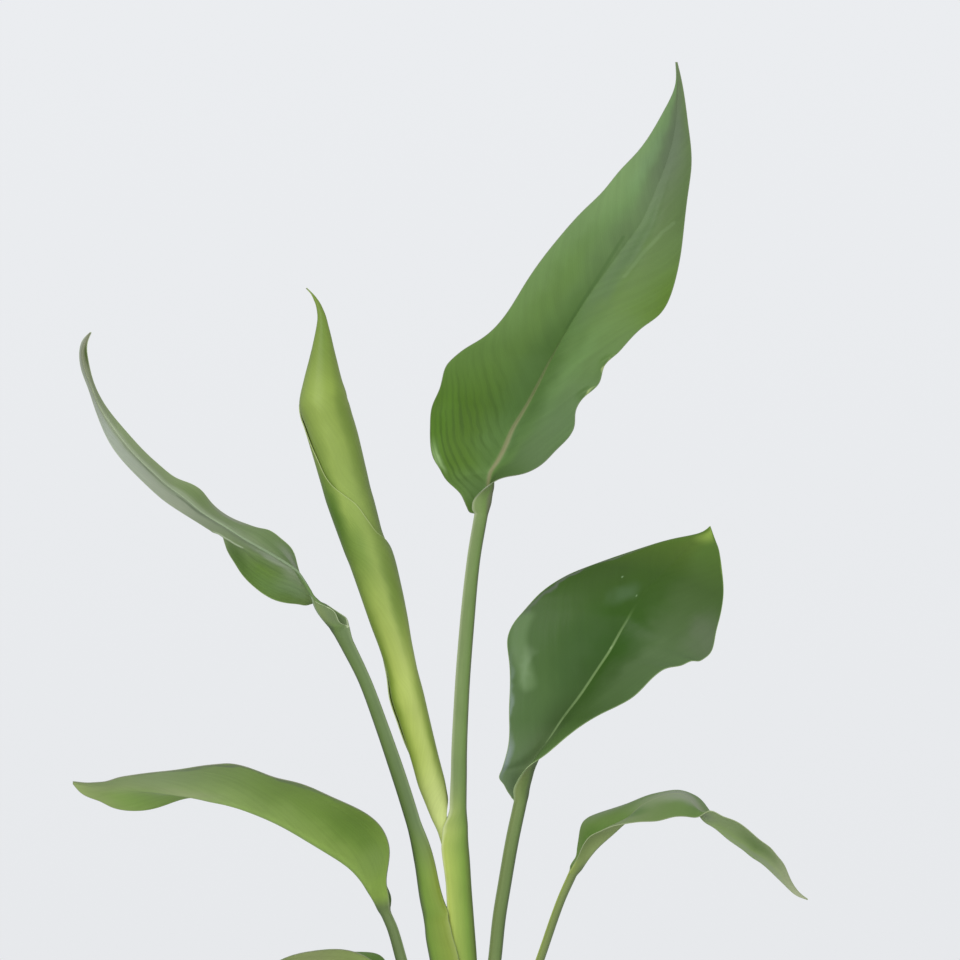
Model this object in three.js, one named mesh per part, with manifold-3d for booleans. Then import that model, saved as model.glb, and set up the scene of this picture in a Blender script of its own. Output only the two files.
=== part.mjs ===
import * as THREE from 'three';
import ManifoldModule from 'manifold-3d';

// A young bird of paradise plant in a plain pot. Sizes are in millimetres. z points up, the fan of
// leaves lies along x, and its front is toward -y. The pot stands on z = 0.

const clearance = 0.3;

// Pot, with its rim a little wider than the wall below it
const potHeight = 150;
const potBaseRadius = 58;
const potRimRadius = 86;
const potCollarRadius = 81.5;
const collarHeight = 26;
const potWall = 5;
const potFloor = 8;
const drainRadius = 5;
const drainDistance = 30;
const drainCount = 3;
const potSides = 48;

// Soil
const soilHeight = 130;
const soilMound = 3;
const soilMoundRadius = 40;

// The plain hole in the soil that the foot of the plant stands in
const footDepth = 22;
const footCentre = -1.8;
const footHalfWidth = 18;
const footHalfDepth = 10.4;

// Blades
const bladeThickness = 0.8;
const stepsPerRow = 2;
const columnsAcrossHalf = [0, 0.07, 0.36, 0.7, 1];
const ribHalfWidth = 1.8;
const marginWaves = 5;

// Stalks and sheaths
const sectionSteps = 6;

const finishes = {
  darkBlade: { color: 0x586d44, roughness: 0.5 },
  blueBlade: { color: 0x8ea085, roughness: 0.55 },
  lowBlade: { color: 0x6e8a3f, roughness: 0.5 },
  newLeaf: { color: 0x9baf5d, roughness: 0.5 },
  paleStalk: { color: 0x83955f, roughness: 0.5 },
  darkStalk: { color: 0x67794f, roughness: 0.5 },
  pot: { color: 0xe9e7e2, roughness: 0.6 },
  soil: { color: 0x4a3a2c, roughness: 0.95 },
};

// Each row of a blade goes from its base to its tip: left margin, midrib, right margin, as seen on
// the upper face with the tip up. Each point is x, y, z.
const bladeA = [
  [[4.5, 2.5, 473], [11.5, 0.5, 476], [5, -3, 471.5]],
  [[-2, 2, 483], [12, 2, 485.5], [9, -5, 483.5]],
  [[-9.5, -1, 490.5], [13.5, 3, 493.5], [20, -7, 491]],
  [[-15.5, -6, 501], [17.5, 5, 502.5], [38, -9, 496.5]],
  [[-17.5, -10, 517.5], [24, 8, 515], [51, -11, 510]],
  [[-13.2, -12, 534.5], [31.5, 10, 528.5], [55, -11, 524.5]],
  [[-9, -13, 547.5], [39.5, 10, 542.5], [67, -12, 539]],
  [[9.5, -14, 561], [48, 11, 559.5], [81, -12, 558.5]],
  [[29.5, -12, 587.5], [60, 12, 579], [96.5, -11, 572]],
  [[47.5, -10, 611.5], [74, 12, 599.5], [104.5, -9, 590]],
  [[68.5, -6, 633.5], [87, 10, 619.5], [110.5, -6, 617]],
  [[86.5, -2, 654.5], [98, 7, 644.5], [113.5, -3, 646]],
  [[99.5, 0, 675], [104.5, 4, 668], [112, 0, 667.5]],
  [[105, 0, 690], [107, 1.5, 688], [109, 0, 688]],
  [[105.5, 0, 699], [106, 0.4, 699], [106.5, 0, 699]],
];

const bladeB = [
  [[-57.5, -2.5, 417.5], [-65, -2.5, 415.5], [-56.5, 3.5, 420]],
  [[-65.5, -4.5, 424], [-72, -4, 426], [-64.5, 6, 427]],
  [[-74, -5, 429], [-77.5, -6, 435.5], [-77, 12, 428]],
  [[-80.5, -3, 437.5], [-83, -8, 444], [-88, 14, 427.5]],
  [[-82.5, 1, 447], [-90.5, -9, 450], [-101.5, 15, 432]],
  [[-87.5, 6, 456.5], [-100, -9, 455], [-113.5, 16, 442.5]],
  [[-99, 11, 465], [-110, -9, 460.5], [-122, 17, 454]],
  [[-115.5, 14, 470], [-120.5, -9, 467.5], [-129.5, 17, 465.5]],
  [[-128.5, 16, 479.5], [-132, -8, 474.5], [-140.5, 17, 472]],
  [[-138.5, 17, 488], [-143, -7, 483], [-152.5, 17, 480]],
  [[-152.5, 16, 496], [-154, -6, 492.5], [-165, 16, 491.5]],
  [[-163.5, 14, 506.5], [-165.5, -5, 503.5], [-175.5, 14, 504]],
  [[-173, 11, 517], [-175.5, -3, 516], [-182, 11, 514]],
  [[-181, 8, 528], [-183, -1, 527.5], [-186, 8, 526]],
  [[-186, 5, 539.5], [-187.5, 0, 538.5], [-190, 5, 537]],
  [[-188, 2, 550], [-191, -0.5, 549], [-193, 3.5, 548.5]],
  [[-188.5, 0, 558], [-190.5, -0.5, 557.5], [-191.5, 2, 559]],
  [[-186.5, 0, 563.5], [-187, -0.4, 564], [-187.5, 0.6, 564]],
];

const bladeD = [
  [[24, 3, 328.5], [30.5, 1, 330], [24.5, -3, 331.5]],
  [[21, 3.5, 334], [31.5, 1, 337], [26, -5, 339.5]],
  [[17.5, 1, 340.5], [33.5, 2, 344.5], [30.5, -8, 346.5]],
  [[18.5, -2, 347], [36.5, 5, 351], [38, -12, 352]],
  [[21.5, -3, 357], [41, 8, 358], [49.5, -15, 361.5]],
  [[22, -2, 373], [49, 11, 370], [67.5, -17, 374]],
  [[22.5, 0, 386.5], [57.5, 14, 381], [84, -17, 382]],
  [[22, 2, 399.5], [65, 17, 392.5], [94.5, -15, 392.5]],
  [[21.5, 5, 411], [73, 20, 404.5], [108, -11, 398]],
  [[29, 9, 423.5], [83, 24, 418.5], [119.5, -4, 400]],
  [[42.5, 14, 436.5], [92.5, 28, 430.5], [126, 5, 413]],
  [[63, 21, 447], [103, 32, 442], [130, 15, 429.5]],
  [[88.5, 28, 455.5], [114, 36, 453], [130.5, 25, 444.5]],
  [[108, 34, 460.5], [121, 39, 460], [129, 33, 455]],
  [[121.5, 39, 464], [125.5, 40.5, 464], [127, 38, 461]],
  [[124.5, 40, 466.5], [125, 40.4, 466.5], [125.5, 40, 466.5]],
];

const bladeE = [
  [[-38, -3, 275], [-42, 0, 273], [-37.5, 3, 275]],
  [[-38, -7, 282], [-44.5, -1, 280], [-37, 6, 280]],
  [[-38, -14, 296.5], [-50, -2, 288], [-40, 13, 287.5]],
  [[-37.5, -20, 307.5], [-56.5, -2, 296], [-42, 19, 298]],
  [[-41, -24, 319], [-65.5, -2, 303], [-48, 23, 309]],
  [[-51.5, -27, 327.5], [-76.5, -2, 309], [-57.5, 25, 317]],
  [[-66.5, -28, 334], [-88, -2, 316], [-70.5, 27, 324]],
  [[-83, -28, 341], [-99.5, -2, 321.5], [-86, 28, 330]],
  [[-99.5, -27, 346.5], [-111, -2, 326], [-101, 28, 334]],
  [[-116, -25, 350], [-122.5, -1, 329], [-114, 27, 334.5]],
  [[-129.5, -22, 349], [-133.5, 0, 331], [-127, 25, 330.5]],
  [[-143, -18, 346.5], [-144.5, 1, 332.5], [-141, 21, 329]],
  [[-155.5, -15, 344.5], [-155.5, 1, 334], [-154, 17, 325.5]],
  [[-167.5, -11, 343], [-166.5, 1, 335], [-165.5, 13, 323.5]],
  [[-179, -7, 340], [-178, 1, 336], [-178, 9, 326]],
  [[-188.5, -3, 338.5], [-188, 0.5, 337], [-188, 4, 331]],
  [[-196, -0.6, 339.5], [-196, 0, 339], [-195.5, 0.6, 338.5]],
];

const bladeF = [
  [[52, 2, 295.5], [56.5, -0.5, 293.5], [52.5, -2.5, 295]],
  [[54, 4, 299], [60, -0.5, 299], [55.5, -4.5, 300.5]],
  [[55.5, 7, 304.5], [64, -1, 304.5], [58, -7, 306]],
  [[56.5, 10, 310.5], [68.5, -1, 309], [61, -10, 312]],
  [[59, 13, 317.5], [73.5, -1, 313.5], [66, -13, 315]],
  [[65.5, 16, 321.5], [78, -1, 317.5], [72.5, -16, 318]],
  [[75, 19, 324.5], [83, -1, 322], [80, -18, 319.5]],
  [[84.5, 20, 327.5], [88, -1, 326], [87.5, -19, 320.5]],
  [[93, 21, 330.5], [94, -1, 330], [95.5, -19, 321.5]],
  [[100.5, 21, 332], [101.5, -1, 332.5], [103, -18, 322.5]],
  [[108, 20, 332], [109, -1, 332.5], [110, -16, 324]],
  [[114.5, 19, 330], [115, -2, 329], [116.5, -13, 325]],
  [[120, 18, 325], [119.5, -3, 323], [121.5, -14, 325.5]],
  [[126, 17, 320], [124, -3, 317], [128, -16, 323.5]],
  [[133.5, 16, 314.5], [131.5, -3, 311], [135.5, -16, 320]],
  [[141, 14, 309], [139.5, -2, 304.5], [143.5, -15, 314]],
  [[148.5, 12, 303], [147.5, -2, 299], [151.5, -13, 307.5]],
  [[155, 8, 296.5], [155, -1, 292.5], [158.5, -9, 299.5]],
  [[161.5, 4, 289.5], [161, -0.5, 286.5], [162.5, -4, 290.5]],
  [[166.5, 1.5, 284], [166.5, 0, 282], [167.5, -1, 284]],
  [[171, 0.6, 280], [171.2, 0, 279.6], [171.5, -0.6, 280.5]],
];

const bladeG = [
  [[-37.5, -3, 237.5], [-41, 0, 234], [-36.5, 3, 238.5]],
  [[-40.5, -7, 245], [-47, -1, 238.5], [-38, 6, 244.5]],
  [[-48, -13, 252.5], [-56, -2, 240.5], [-42.5, 13, 250.5]],
  [[-61.5, -18, 257.5], [-67.5, -2, 240.5], [-53.5, 18, 252]],
  [[-79.5, -21, 256], [-81, -2, 238], [-71, 21, 249.5]],
  [[-99.5, -22, 248.5], [-96, -2, 232], [-88.5, 22, 243]],
  [[-117.5, -21, 238], [-111, -2, 224], [-106.5, 21, 234]],
  [[-134, -18, 225.5], [-126, -1, 213.5], [-123.5, 19, 223]],
  [[-148, -13, 210.5], [-140.5, -1, 202], [-139, 14, 210.5]],
  [[-158.5, -7, 195], [-153, 0, 190], [-152.5, 8, 197]],
  [[-166, -1.5, 181], [-163.5, 0, 179.5], [-164, 2, 182.5]],
  [[-168, -0.6, 175.5], [-167.5, 0, 175], [-167.3, 0.6, 175.5]],
];

// Each ring of a stalk, from its foot up: centre x, height z, how far the back stands out behind
// the centre and how thick it is there, how far the wings reach in front, half the depth along y,
// how thick the wings are, and how far round they go, in degrees from the back.
const stalkA = [
  [-1.5, 108, 7.7, 4.5, 4.2, 4, 0.8, 150],
  [-1.5, 130, 7.7, 4.5, 4.2, 4, 0.8, 150],
  [-1.7, 150, 8.5, 5.2, 4.3, 4.1, 0.8, 150],
  [-2, 175, 9.4, 6, 4.4, 4.2, 0.8, 150],
  [-2.4, 200, 10, 6.5, 4.5, 4.3, 0.8, 150],
  [-3, 225, 10.2, 6.6, 4.6, 4.4, 0.8, 150],
  [-3.8, 250, 9.8, 6.1, 4.7, 4.5, 0.8, 150],
  [-4.6, 270, 9.1, 5.3, 4.8, 4.6, 0.8, 150],
  [-5.4, 287.5, 8.6, 4.8, 4.8, 4.6, 0.8, 150],
  [-7.2, 305, 9.2, 5.3, 4.8, 4.9, 0.8, 140],
  [-8.75, 315, 10.25, 6.6, 5, 5.2, 0.8, 92],
  [-3.6, 326.5, 4.4, 3.4, 6.6, 4.6, 1.1, 120],
  [-4, 347, 5, 4, 6, 3.9, 1.2, 120],
  [-2.7, 380, 4.7, 3.7, 5.6, 3.7, 1.2, 120],
  [0.3, 420, 4.5, 3.5, 5.5, 3.6, 1.2, 120],
  [3.4, 450, 4.2, 3.2, 5, 3.5, 1.2, 120],
  [7.2, 472.5, 4.2, 3.2, 5.2, 3.5, 1.2, 120],
];

const stalkB = [
  [0, 108, 10.4, 4.3, 7.5, 6.05, 0.9, 115],
  [0, 130, 10.4, 4.3, 7.5, 6.05, 0.9, 115],
  [0, 150, 10.7, 4.3, 8.1, 6.15, 0.9, 115],
  [0, 175, 11.2, 4.4, 8.7, 6.25, 0.9, 110],
  [0, 200, 12, 4.7, 8.9, 6.35, 0.9, 98],
  [-0.5, 225, 13.5, 6, 9, 6.35, 0.9, 94],
  [-2.5, 250, 15, 8.6, 9.8, 6.35, 0.9, 88],
  [-6.3, 263, 13.5, 10.3, 8, 5.7, 0.9, 90],
  [-8, 270, 12.5, 10.6, 6, 5.3, 1.1, 90],
  [-14, 276.5, 7.75, 7, 5.2, 5.2, 1.5, 150],
  [-19.5, 300, 6, 5.3, 4.6, 4.6, 1.5, 150],
  [-25.4, 320, 4.4, 3.6, 5.6, 3.8, 1.3, 120],
  [-31.6, 340, 4.4, 3.5, 5.4, 3.7, 1.2, 120],
  [-42, 370, 4, 3.1, 5, 3.5, 1.2, 120],
  [-49.6, 390, 3.8, 2.9, 4.9, 3.4, 1.2, 120],
  [-58.3, 408, 4.2, 3.2, 5, 3.5, 1.2, 120],
  [-61.8, 414.5, 4.3, 3.2, 5, 3.5, 1.2, 120],
];

const stalkD = [
  [-0.5, 108, 11.7, 4.2, 11, 7.5, 0.9, 100],
  [-0.5, 130, 11.7, 4.2, 11, 7.5, 0.9, 100],
  [-0.5, 150, 12, 4.3, 11.2, 7.6, 0.9, 90],
  [-0.5, 175, 12.4, 4, 11, 7.7, 0.9, 86],
  [0, 200, 12.6, 4.5, 11, 7.8, 0.9, 80],
  [10.5, 225, 4, 3, 3.1, 3.9, 1.2, 150],
  [14.2, 250, 4, 3.1, 3.1, 3.7, 1.2, 150],
  [16.3, 270, 4, 3.1, 3.1, 3.6, 1.2, 150],
  [19.5, 290, 4, 3.1, 3.1, 3.5, 1.2, 150],
  [23, 310, 4, 3.1, 3.1, 3.5, 1.2, 150],
  [27, 328.5, 3.9, 3, 3.1, 3.5, 1.2, 150],
];

const stalkE = [
  [-0.5, 108, 14.3, 4, 12.9, 8.8, 0.9, 92],
  [-0.5, 130, 14.3, 4, 12.9, 8.8, 0.9, 92],
  [-0.5, 150, 15, 4.4, 13.2, 8.9, 0.9, 90],
  [-4, 175, 13, 5.4, 8, 7.3, 0.9, 90],
  [-8, 187, 10.6, 6.5, 6, 5.9, 0.9, 90],
  [-16, 200, 4.5, 3.6, 3.7, 4.2, 1.3, 150],
  [-24.2, 225, 3.7, 2.8, 3, 3.6, 1.1, 150],
  [-31.8, 250, 3.2, 2.4, 2.8, 3.2, 1.1, 150],
  [-39.8, 272.5, 2.9, 2.1, 2.6, 3, 1, 150],
];

const stalkF = [
  [0, 108, 15.5, 3.8, 12, 8.7, 0.8, 88],
  [0, 130, 15.5, 3.8, 12, 8.7, 0.8, 88],
  [5, 150, 11.2, 4.2, 6, 8.2, 0.8, 90],
  [9, 162, 7.9, 4.6, 5, 6.1, 0.8, 90],
  [15.2, 175, 2.9, 2, 2.4, 3.3, 1, 150],
  [20.2, 200, 2.7, 1.9, 2.3, 3, 1, 150],
  [28, 225, 2.5, 1.8, 2.2, 2.8, 0.9, 150],
  [37.2, 250, 2.4, 1.7, 2.1, 2.6, 0.9, 150],
  [48.4, 280, 2.3, 1.6, 2.1, 2.5, 0.9, 150],
  [54, 293, 2.4, 1.6, 2.2, 2.5, 0.9, 150],
];

const stalkG = [
  [-0.5, 108, 18.5, 3.8, 12, 10, 0.8, 85],
  [-0.5, 130, 18.5, 3.8, 12, 10, 0.8, 85],
  [-8, 150, 12, 4, 8, 9, 0.8, 90],
  [-13, 162, 8, 4.2, 5, 6.6, 0.8, 90],
  [-20.3, 175, 3.1, 2.2, 2.7, 3.4, 1.1, 150],
  [-25.5, 192.5, 2.9, 2.1, 2.6, 3.2, 1, 150],
  [-31, 207.5, 2.8, 2, 2.5, 3, 1, 150],
  [-35, 222.5, 2.7, 1.9, 2.5, 2.9, 1, 150],
  [-38.4, 234, 2.8, 1.9, 2.5, 2.9, 1, 150],
];

// Each ring of the rolled leaf, from its foot up: centre x and z, radius along x and along y, the
// angle of the outer margin, the whole angle that the sheet goes round, and its thickness in the
// middle. Angles are in degrees from +x toward the back. The channel of its stalk faces +x.
const rolledRings = [
  [-1.5, 108, 2.8, 2.8, -70, 220, 2.1],
  [-1.5, 130, 2.8, 2.8, -70, 220, 2.1],
  [-1.7, 150, 2.9, 2.9, -70, 220, 2.2],
  [-2, 175, 3, 3, -70, 220, 2.3],
  [-2.4, 200, 3.1, 3.1, -70, 220, 2.4],
  [-3, 225, 3.2, 3.2, -70, 220, 2.5],
  [-3.8, 250, 3.3, 3.3, -70, 220, 2.5],
  [-4.6, 270, 3.4, 3.4, -70, 220, 2.6],
  [-5.4, 287.5, 3.4, 3.4, -70, 220, 2.6],
  [-7.2, 305, 3.5, 3.4, -70, 220, 2.6],
  [-9.7, 314, 4, 3.6, -65, 230, 2.6],
  [-12.2, 322, 5.1, 4.5, -50, 250, 2.4],
  [-14.5, 330, 6.2, 5.7, 0, 330, 1.4],
  [-17.4, 340, 7.4, 7.1, 95, 430, 0.9],
  [-20.1, 350, 7.6, 7.5, 140, 450, 0.8],
  [-25.6, 370, 8.4, 8.1, 178, 450, 0.8],
  [-29, 382, 9, 8.7, 180, 450, 0.8],
  [-31.6, 394, 8.4, 8.4, 165, 450, 0.8],
  [-34.3, 405, 8.8, 8.8, 150, 450, 0.8],
  [-38.3, 420, 10.1, 10.1, 110, 450, 0.8],
  [-42.4, 435, 11, 11, 70, 450, 0.8],
  [-46.9, 450, 11.6, 11.6, 30, 450, 0.8],
  [-51.3, 461, 11.4, 11.4, 0, 450, 0.8],
  [-57.2, 480, 12.2, 12.2, -40, 450, 0.8],
  [-61.3, 495, 12.4, 12.4, -80, 450, 0.8],
  [-65.3, 510, 12.8, 12.8, -130, 450, 0.8],
  [-68.9, 522, 12.8, 12.8, -190, 450, 0.8],
  [-70.8, 530, 12.6, 12.6, -215, 450, 0.8],
  [-71.8, 540, 10.8, 10.8, -230, 440, 0.8],
  [-72.1, 550, 8.5, 8.5, -240, 430, 0.8],
  [-72, 560, 5.8, 5.8, -250, 410, 0.8],
  [-72, 570, 3.1, 3.1, -260, 390, 0.8],
  [-73.6, 577, 2, 2, -260, 320, 0.8],
  [-76.5, 581.5, 1.3, 1.3, -260, 240, 0.8],
  [-79.7, 585.8, 1, 1, -260, 160, 0.7],
];
const rolledSteps = 20;
const rolledTurnPerRing = 28;
const rollPitch = 1.35;
const rolledEdgeThickness = 0.7;

function toVector(point) {
  return new THREE.Vector3(point[0], point[1], point[2]);
}

// Linear blend of a list of numbers between two rows
function between(low, high, share) {
  return low.map((value, index) => value + (high[index] - value) * share);
}

// A closed sheet between an outer and an inner grid of points. Both faces are split into triangles
// alike, along the shorter diagonal.
function sheetGeometry(outer, inner) {
  const rows = outer.length;
  const columns = outer[0].length;
  const positions = [];
  const triangles = [];
  for (const grid of [outer, inner]) {
    for (const row of grid) {
      for (const point of row) {
        positions.push(point.x, point.y, point.z);
      }
    }
  }
  const at = (side, row, column) => side * rows * columns + row * columns + column;
  const quad = (a, b, c, d) => triangles.push(a, b, c, a, c, d);
  for (let row = 0; row < rows - 1; row += 1) {
    for (let column = 0; column < columns - 1; column += 1) {
      const outerCorners = [
        at(0, row, column), at(0, row, column + 1),
        at(0, row + 1, column + 1), at(0, row + 1, column),
      ];
      const points = [
        outer[row][column], outer[row][column + 1],
        outer[row + 1][column + 1], outer[row + 1][column],
      ];
      if (points[1].distanceTo(points[3]) < points[0].distanceTo(points[2])) {
        outerCorners.push(outerCorners.shift());
      }
      const [a, b, c, d] = outerCorners.map((corner) => corner + rows * columns);
      quad(outerCorners[0], outerCorners[1], outerCorners[2], outerCorners[3]);
      triangles.push(a, c, b, a, d, c);
    }
  }
  for (let row = 0; row < rows - 1; row += 1) {
    const last = columns - 1;
    quad(at(0, row, 0), at(0, row + 1, 0), at(1, row + 1, 0), at(1, row, 0));
    quad(at(0, row, last), at(1, row, last), at(1, row + 1, last), at(0, row + 1, last));
  }
  for (let column = 0; column < columns - 1; column += 1) {
    const last = rows - 1;
    quad(at(0, 0, column), at(1, 0, column), at(1, 0, column + 1), at(0, 0, column + 1));
    quad(at(0, last, column), at(0, last, column + 1), at(1, last, column + 1), at(1, last, column));
  }
  return outwardGeometry(positions, triangles);
}

// Turns the triangles round if they face inward
function outwardGeometry(positions, triangles) {
  let volume = 0;
  const corner = (index) => new THREE.Vector3().fromArray(positions, index * 3);
  for (let start = 0; start < triangles.length; start += 3) {
    const [a, b, c] = triangles.slice(start, start + 3).map(corner);
    volume += a.dot(b.cross(c));
  }
  if (volume < 0) {
    triangles.reverse();
  }
  const geometry = new THREE.BufferGeometry();
  geometry.setAttribute('position', new THREE.Float32BufferAttribute(positions, 3));
  geometry.setIndex(triangles);
  geometry.computeVertexNormals();
  return geometry;
}

// Normal at each point of a grid, from its neighbours
function gridNormals(grid) {
  return grid.map((row, i) => row.map((point, j) => {
    const before = grid[Math.max(i - 1, 0)][j];
    const after = grid[Math.min(i + 1, grid.length - 1)][j];
    const left = row[Math.max(j - 1, 0)];
    const right = row[Math.min(j + 1, row.length - 1)];
    const along = after.clone().sub(before);
    const across = right.clone().sub(left);
    return across.cross(along).normalize();
  }));
}

// Middle surface of a blade: two arched halves from the midrib to each margin, with waved margins
function bladeSurface(rows, shape) {
  const rails = [0, 1, 2].map((side) => {
    const points = rows.map((row) => toVector(row[side]));
    return new THREE.CatmullRomCurve3(points, false, 'centripetal');
  });
  const steps = (rows.length - 1) * stepsPerRow;
  const grid = [];
  for (let step = 0; step <= steps; step += 1) {
    const along = step / steps;
    const [left, rib, right] = rails.map((rail) => rail.getPoint(along));
    const direction = rails[1].getTangent(along);
    const leftHalf = halfRow(rib, left, direction, along, shape, -1);
    const rightHalf = halfRow(rib, right, direction, along, shape, 1);
    grid.push([...leftHalf.reverse(), rib, ...rightHalf]);
  }
  return grid;
}

function halfRow(rib, margin, direction, along, shape, side) {
  const across = margin.clone().sub(rib);
  const width = across.length();
  const up = across.clone().multiplyScalar(side).cross(direction).normalize();
  const nearBase = Math.max(0, 1 - along / 0.09);
  const arch = (shape.arch * (1 - nearBase) - 0.22 * nearBase) * width;
  const wave = Math.sin(along * Math.PI * 2 * marginWaves + shape.phase + side) * shape.wave;
  const fade = Math.sin(Math.PI * Math.min(1, Math.max(0, (along - 0.08) / 0.86)));
  const firstColumn = Math.min(0.3, Math.max(columnsAcrossHalf[1], ribHalfWidth / width));
  return columnsAcrossHalf.slice(1).map((share, index) => {
    const out = index === 0 ? firstColumn : Math.max(share, firstColumn + 0.2 * index);
    const lift = arch * 4 * out * (1 - out) + wave * fade * out * out;
    return rib.clone().addScaledVector(across, out).addScaledVector(up, lift);
  });
}

// The blade begins in the section that its stalk ends in, a clearance further along
function bladeFoot(rings, opening) {
  const last = rings.length - 1;
  const lean = ringAngle(rings, last);
  const shift = new THREE.Vector3(Math.sin(lean), 0, Math.cos(lean)).multiplyScalar(clearance);
  const columns = (columnsAcrossHalf.length - 1) * 2;
  const [lower, upper] = stalkRing(rings, last, opening, columns / 2);
  const foot = [upper, lower].map((points) => points.map((point) => point.add(shift)));
  return opening < 0 ? foot.map((points) => points.reverse()) : foot;
}

function blade(rows, shape, rings, opening) {
  const middle = bladeSurface(rows, shape);
  const normals = gridNormals(middle);
  const ribColumn = columnsAcrossHalf.length - 1;
  const offset = (i, j, side) => {
    const along = i / (middle.length - 1);
    const ribShare = Math.max(0, 1 - Math.abs(j - ribColumn) * 0.65);
    const ribHeight = shape.rib * ribShare * (1 - along) ** 1.3;
    const part = side > 0 ? 0.65 * Math.max(0, 1 - along / 0.3) : 1;
    const taken = side > 0 ? 0 : 0.65 * Math.max(0, 1 - along / 0.3);
    return side * (bladeThickness / 2 + ribHeight * (part - taken));
  };
  const face = (side) => middle.map((row, i) => row.map((point, j) => (
    point.clone().addScaledVector(normals[i][j], offset(i, j, side))
  )));
  const upper = face(1);
  const lower = face(-1);
  const [footUpper, footLower] = bladeFoot(rings, opening);
  upper[0] = footUpper;
  lower[0] = footLower;
  return sheetGeometry(upper, lower);
}

// How much a ring leans with the stalk: level rings low down, where the sheaths lie in each other
function leanShare(height) {
  return Math.min(1, Math.max(0, (height - 205) / 30));
}

function ringAngle(rings, index) {
  const before = rings[Math.max(index - 1, 0)];
  const after = rings[Math.min(index + 1, rings.length - 1)];
  const lean = Math.atan2(after[0] - before[0], after[1] - before[1]);
  return lean * leanShare(rings[index][1]);
}

function placeRing(points, centre, height, lean) {
  return points.map(([across, depth]) => new THREE.Vector3(
    centre + across * Math.cos(lean),
    depth,
    height - across * Math.sin(lean),
  ));
}

function archPoint(degrees, back, front, half) {
  const angle = THREE.MathUtils.degToRad(degrees);
  const reach = Math.cos(angle) > 0 ? back : front;
  return [-Math.cos(angle) * reach, Math.sin(angle) * half];
}

// Outer and inner points of one ring of a stalk
function stalkRing(rings, index, opening, steps) {
  const [centre, height, back, backThick, front, half, wingThick, reach] = rings[index];
  const outer = [];
  const inner = [];
  for (let step = -steps; step <= steps; step += 1) {
    const angle = (reach * step) / steps;
    const outerPoint = archPoint(angle, back, front, half);
    const innerPoint = archPoint(angle, back - backThick, front - wingThick, half - wingThick);
    outer.push([outerPoint[0] * opening, outerPoint[1]]);
    inner.push([innerPoint[0] * opening, innerPoint[1]]);
  }
  const lean = ringAngle(rings, index);
  return [outer, inner].map((points) => placeRing(points, centre, height, lean));
}

// A grooved stalk that widens into an open sheath. opening is 1 where its groove faces +x, or -1.
function stalk(rings, opening) {
  const pairs = rings.map((ring, index) => stalkRing(rings, index, opening, sectionSteps));
  return sheetGeometry(pairs.map((pair) => pair[0]), pairs.map((pair) => pair[1]));
}

// More rings where the margin of the rolled leaf goes round quickly
function closeRings(rings) {
  const close = [rings[0]];
  for (let index = 1; index < rings.length; index += 1) {
    const turned = Math.abs(rings[index][4] - rings[index - 1][4]);
    const parts = Math.max(1, Math.ceil(turned / rolledTurnPerRing));
    for (let part = 1; part <= parts; part += 1) {
      close.push(between(rings[index - 1], rings[index], part / parts));
    }
  }
  return close;
}

// The newest leaf, still rolled up: a stalk whose two sides grow into one sheet wound on itself
function rolledLeaf() {
  const outer = [];
  const inner = [];
  const rings = closeRings(rolledRings);
  rings.forEach((ring, index) => {
    const [centre, height, radiusX, radiusY, outerAngle, turn, middleThick] = ring;
    const lean = ringAngle(rings, index);
    const outerPoints = [];
    const innerPoints = [];
    for (let step = 0; step <= rolledSteps; step += 1) {
      const share = step / rolledSteps;
      const angle = THREE.MathUtils.degToRad(outerAngle - turn * share);
      const inset = rollPitch * ((turn * share) / 360) * Math.min(1, radiusX / 6);
      const bulge = Math.sin(Math.PI * share) ** 0.7;
      const thick = rolledEdgeThickness + (middleThick - rolledEdgeThickness) * bulge;
      for (const [points, depth] of [[outerPoints, inset], [innerPoints, inset + thick]]) {
        points.push([Math.cos(angle) * (radiusX - depth), Math.sin(angle) * (radiusY - depth)]);
      }
    }
    outer.push(placeRing(outerPoints, centre, height, lean));
    inner.push(placeRing(innerPoints, centre, height, lean));
  });
  return sheetGeometry(outer, inner);
}

const kernel = await ManifoldModule();
kernel.setup();
const { Manifold } = kernel;

function solidGeometry(solid) {
  const mesh = solid.getMesh();
  const geometry = new THREE.BufferGeometry();
  const positions = new THREE.Float32BufferAttribute(mesh.vertProperties, mesh.numProp);
  geometry.setAttribute('position', positions);
  geometry.setIndex(Array.from(mesh.triVerts));
  geometry.computeVertexNormals();
  return geometry;
}

// Radius of the inside of the pot at a height
function potInside(height) {
  const share = height / (potHeight - collarHeight);
  return potBaseRadius + (potCollarRadius - potBaseRadius) * Math.min(1, share) - potWall;
}

function pot() {
  const collarFoot = potHeight - collarHeight;
  const outline = [
    [0, 0],
    [potBaseRadius - 2, 0],
    [potBaseRadius, 2],
    [potCollarRadius, collarFoot],
    [potRimRadius - 0.8, collarFoot + 2.5],
    [potRimRadius, potHeight - 2],
    [potRimRadius - 1.5, potHeight],
    [potRimRadius - 6, potHeight],
    [potRimRadius - 7.5, potHeight - 2],
    [potInside(collarFoot), collarFoot],
    [potInside(potFloor), potFloor],
    [0, potFloor],
  ];
  let solid = Manifold.revolve([outline], potSides);
  for (let index = 0; index < drainCount; index += 1) {
    const angle = (index * 2 * Math.PI) / drainCount + Math.PI / 6;
    const hole = Manifold.cylinder(potFloor * 3, drainRadius, drainRadius, 16, true);
    const across = Math.cos(angle) * drainDistance;
    solid = solid.subtract(hole.translate([across, Math.sin(angle) * drainDistance, 0]));
  }
  return solidGeometry(solid);
}

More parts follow.
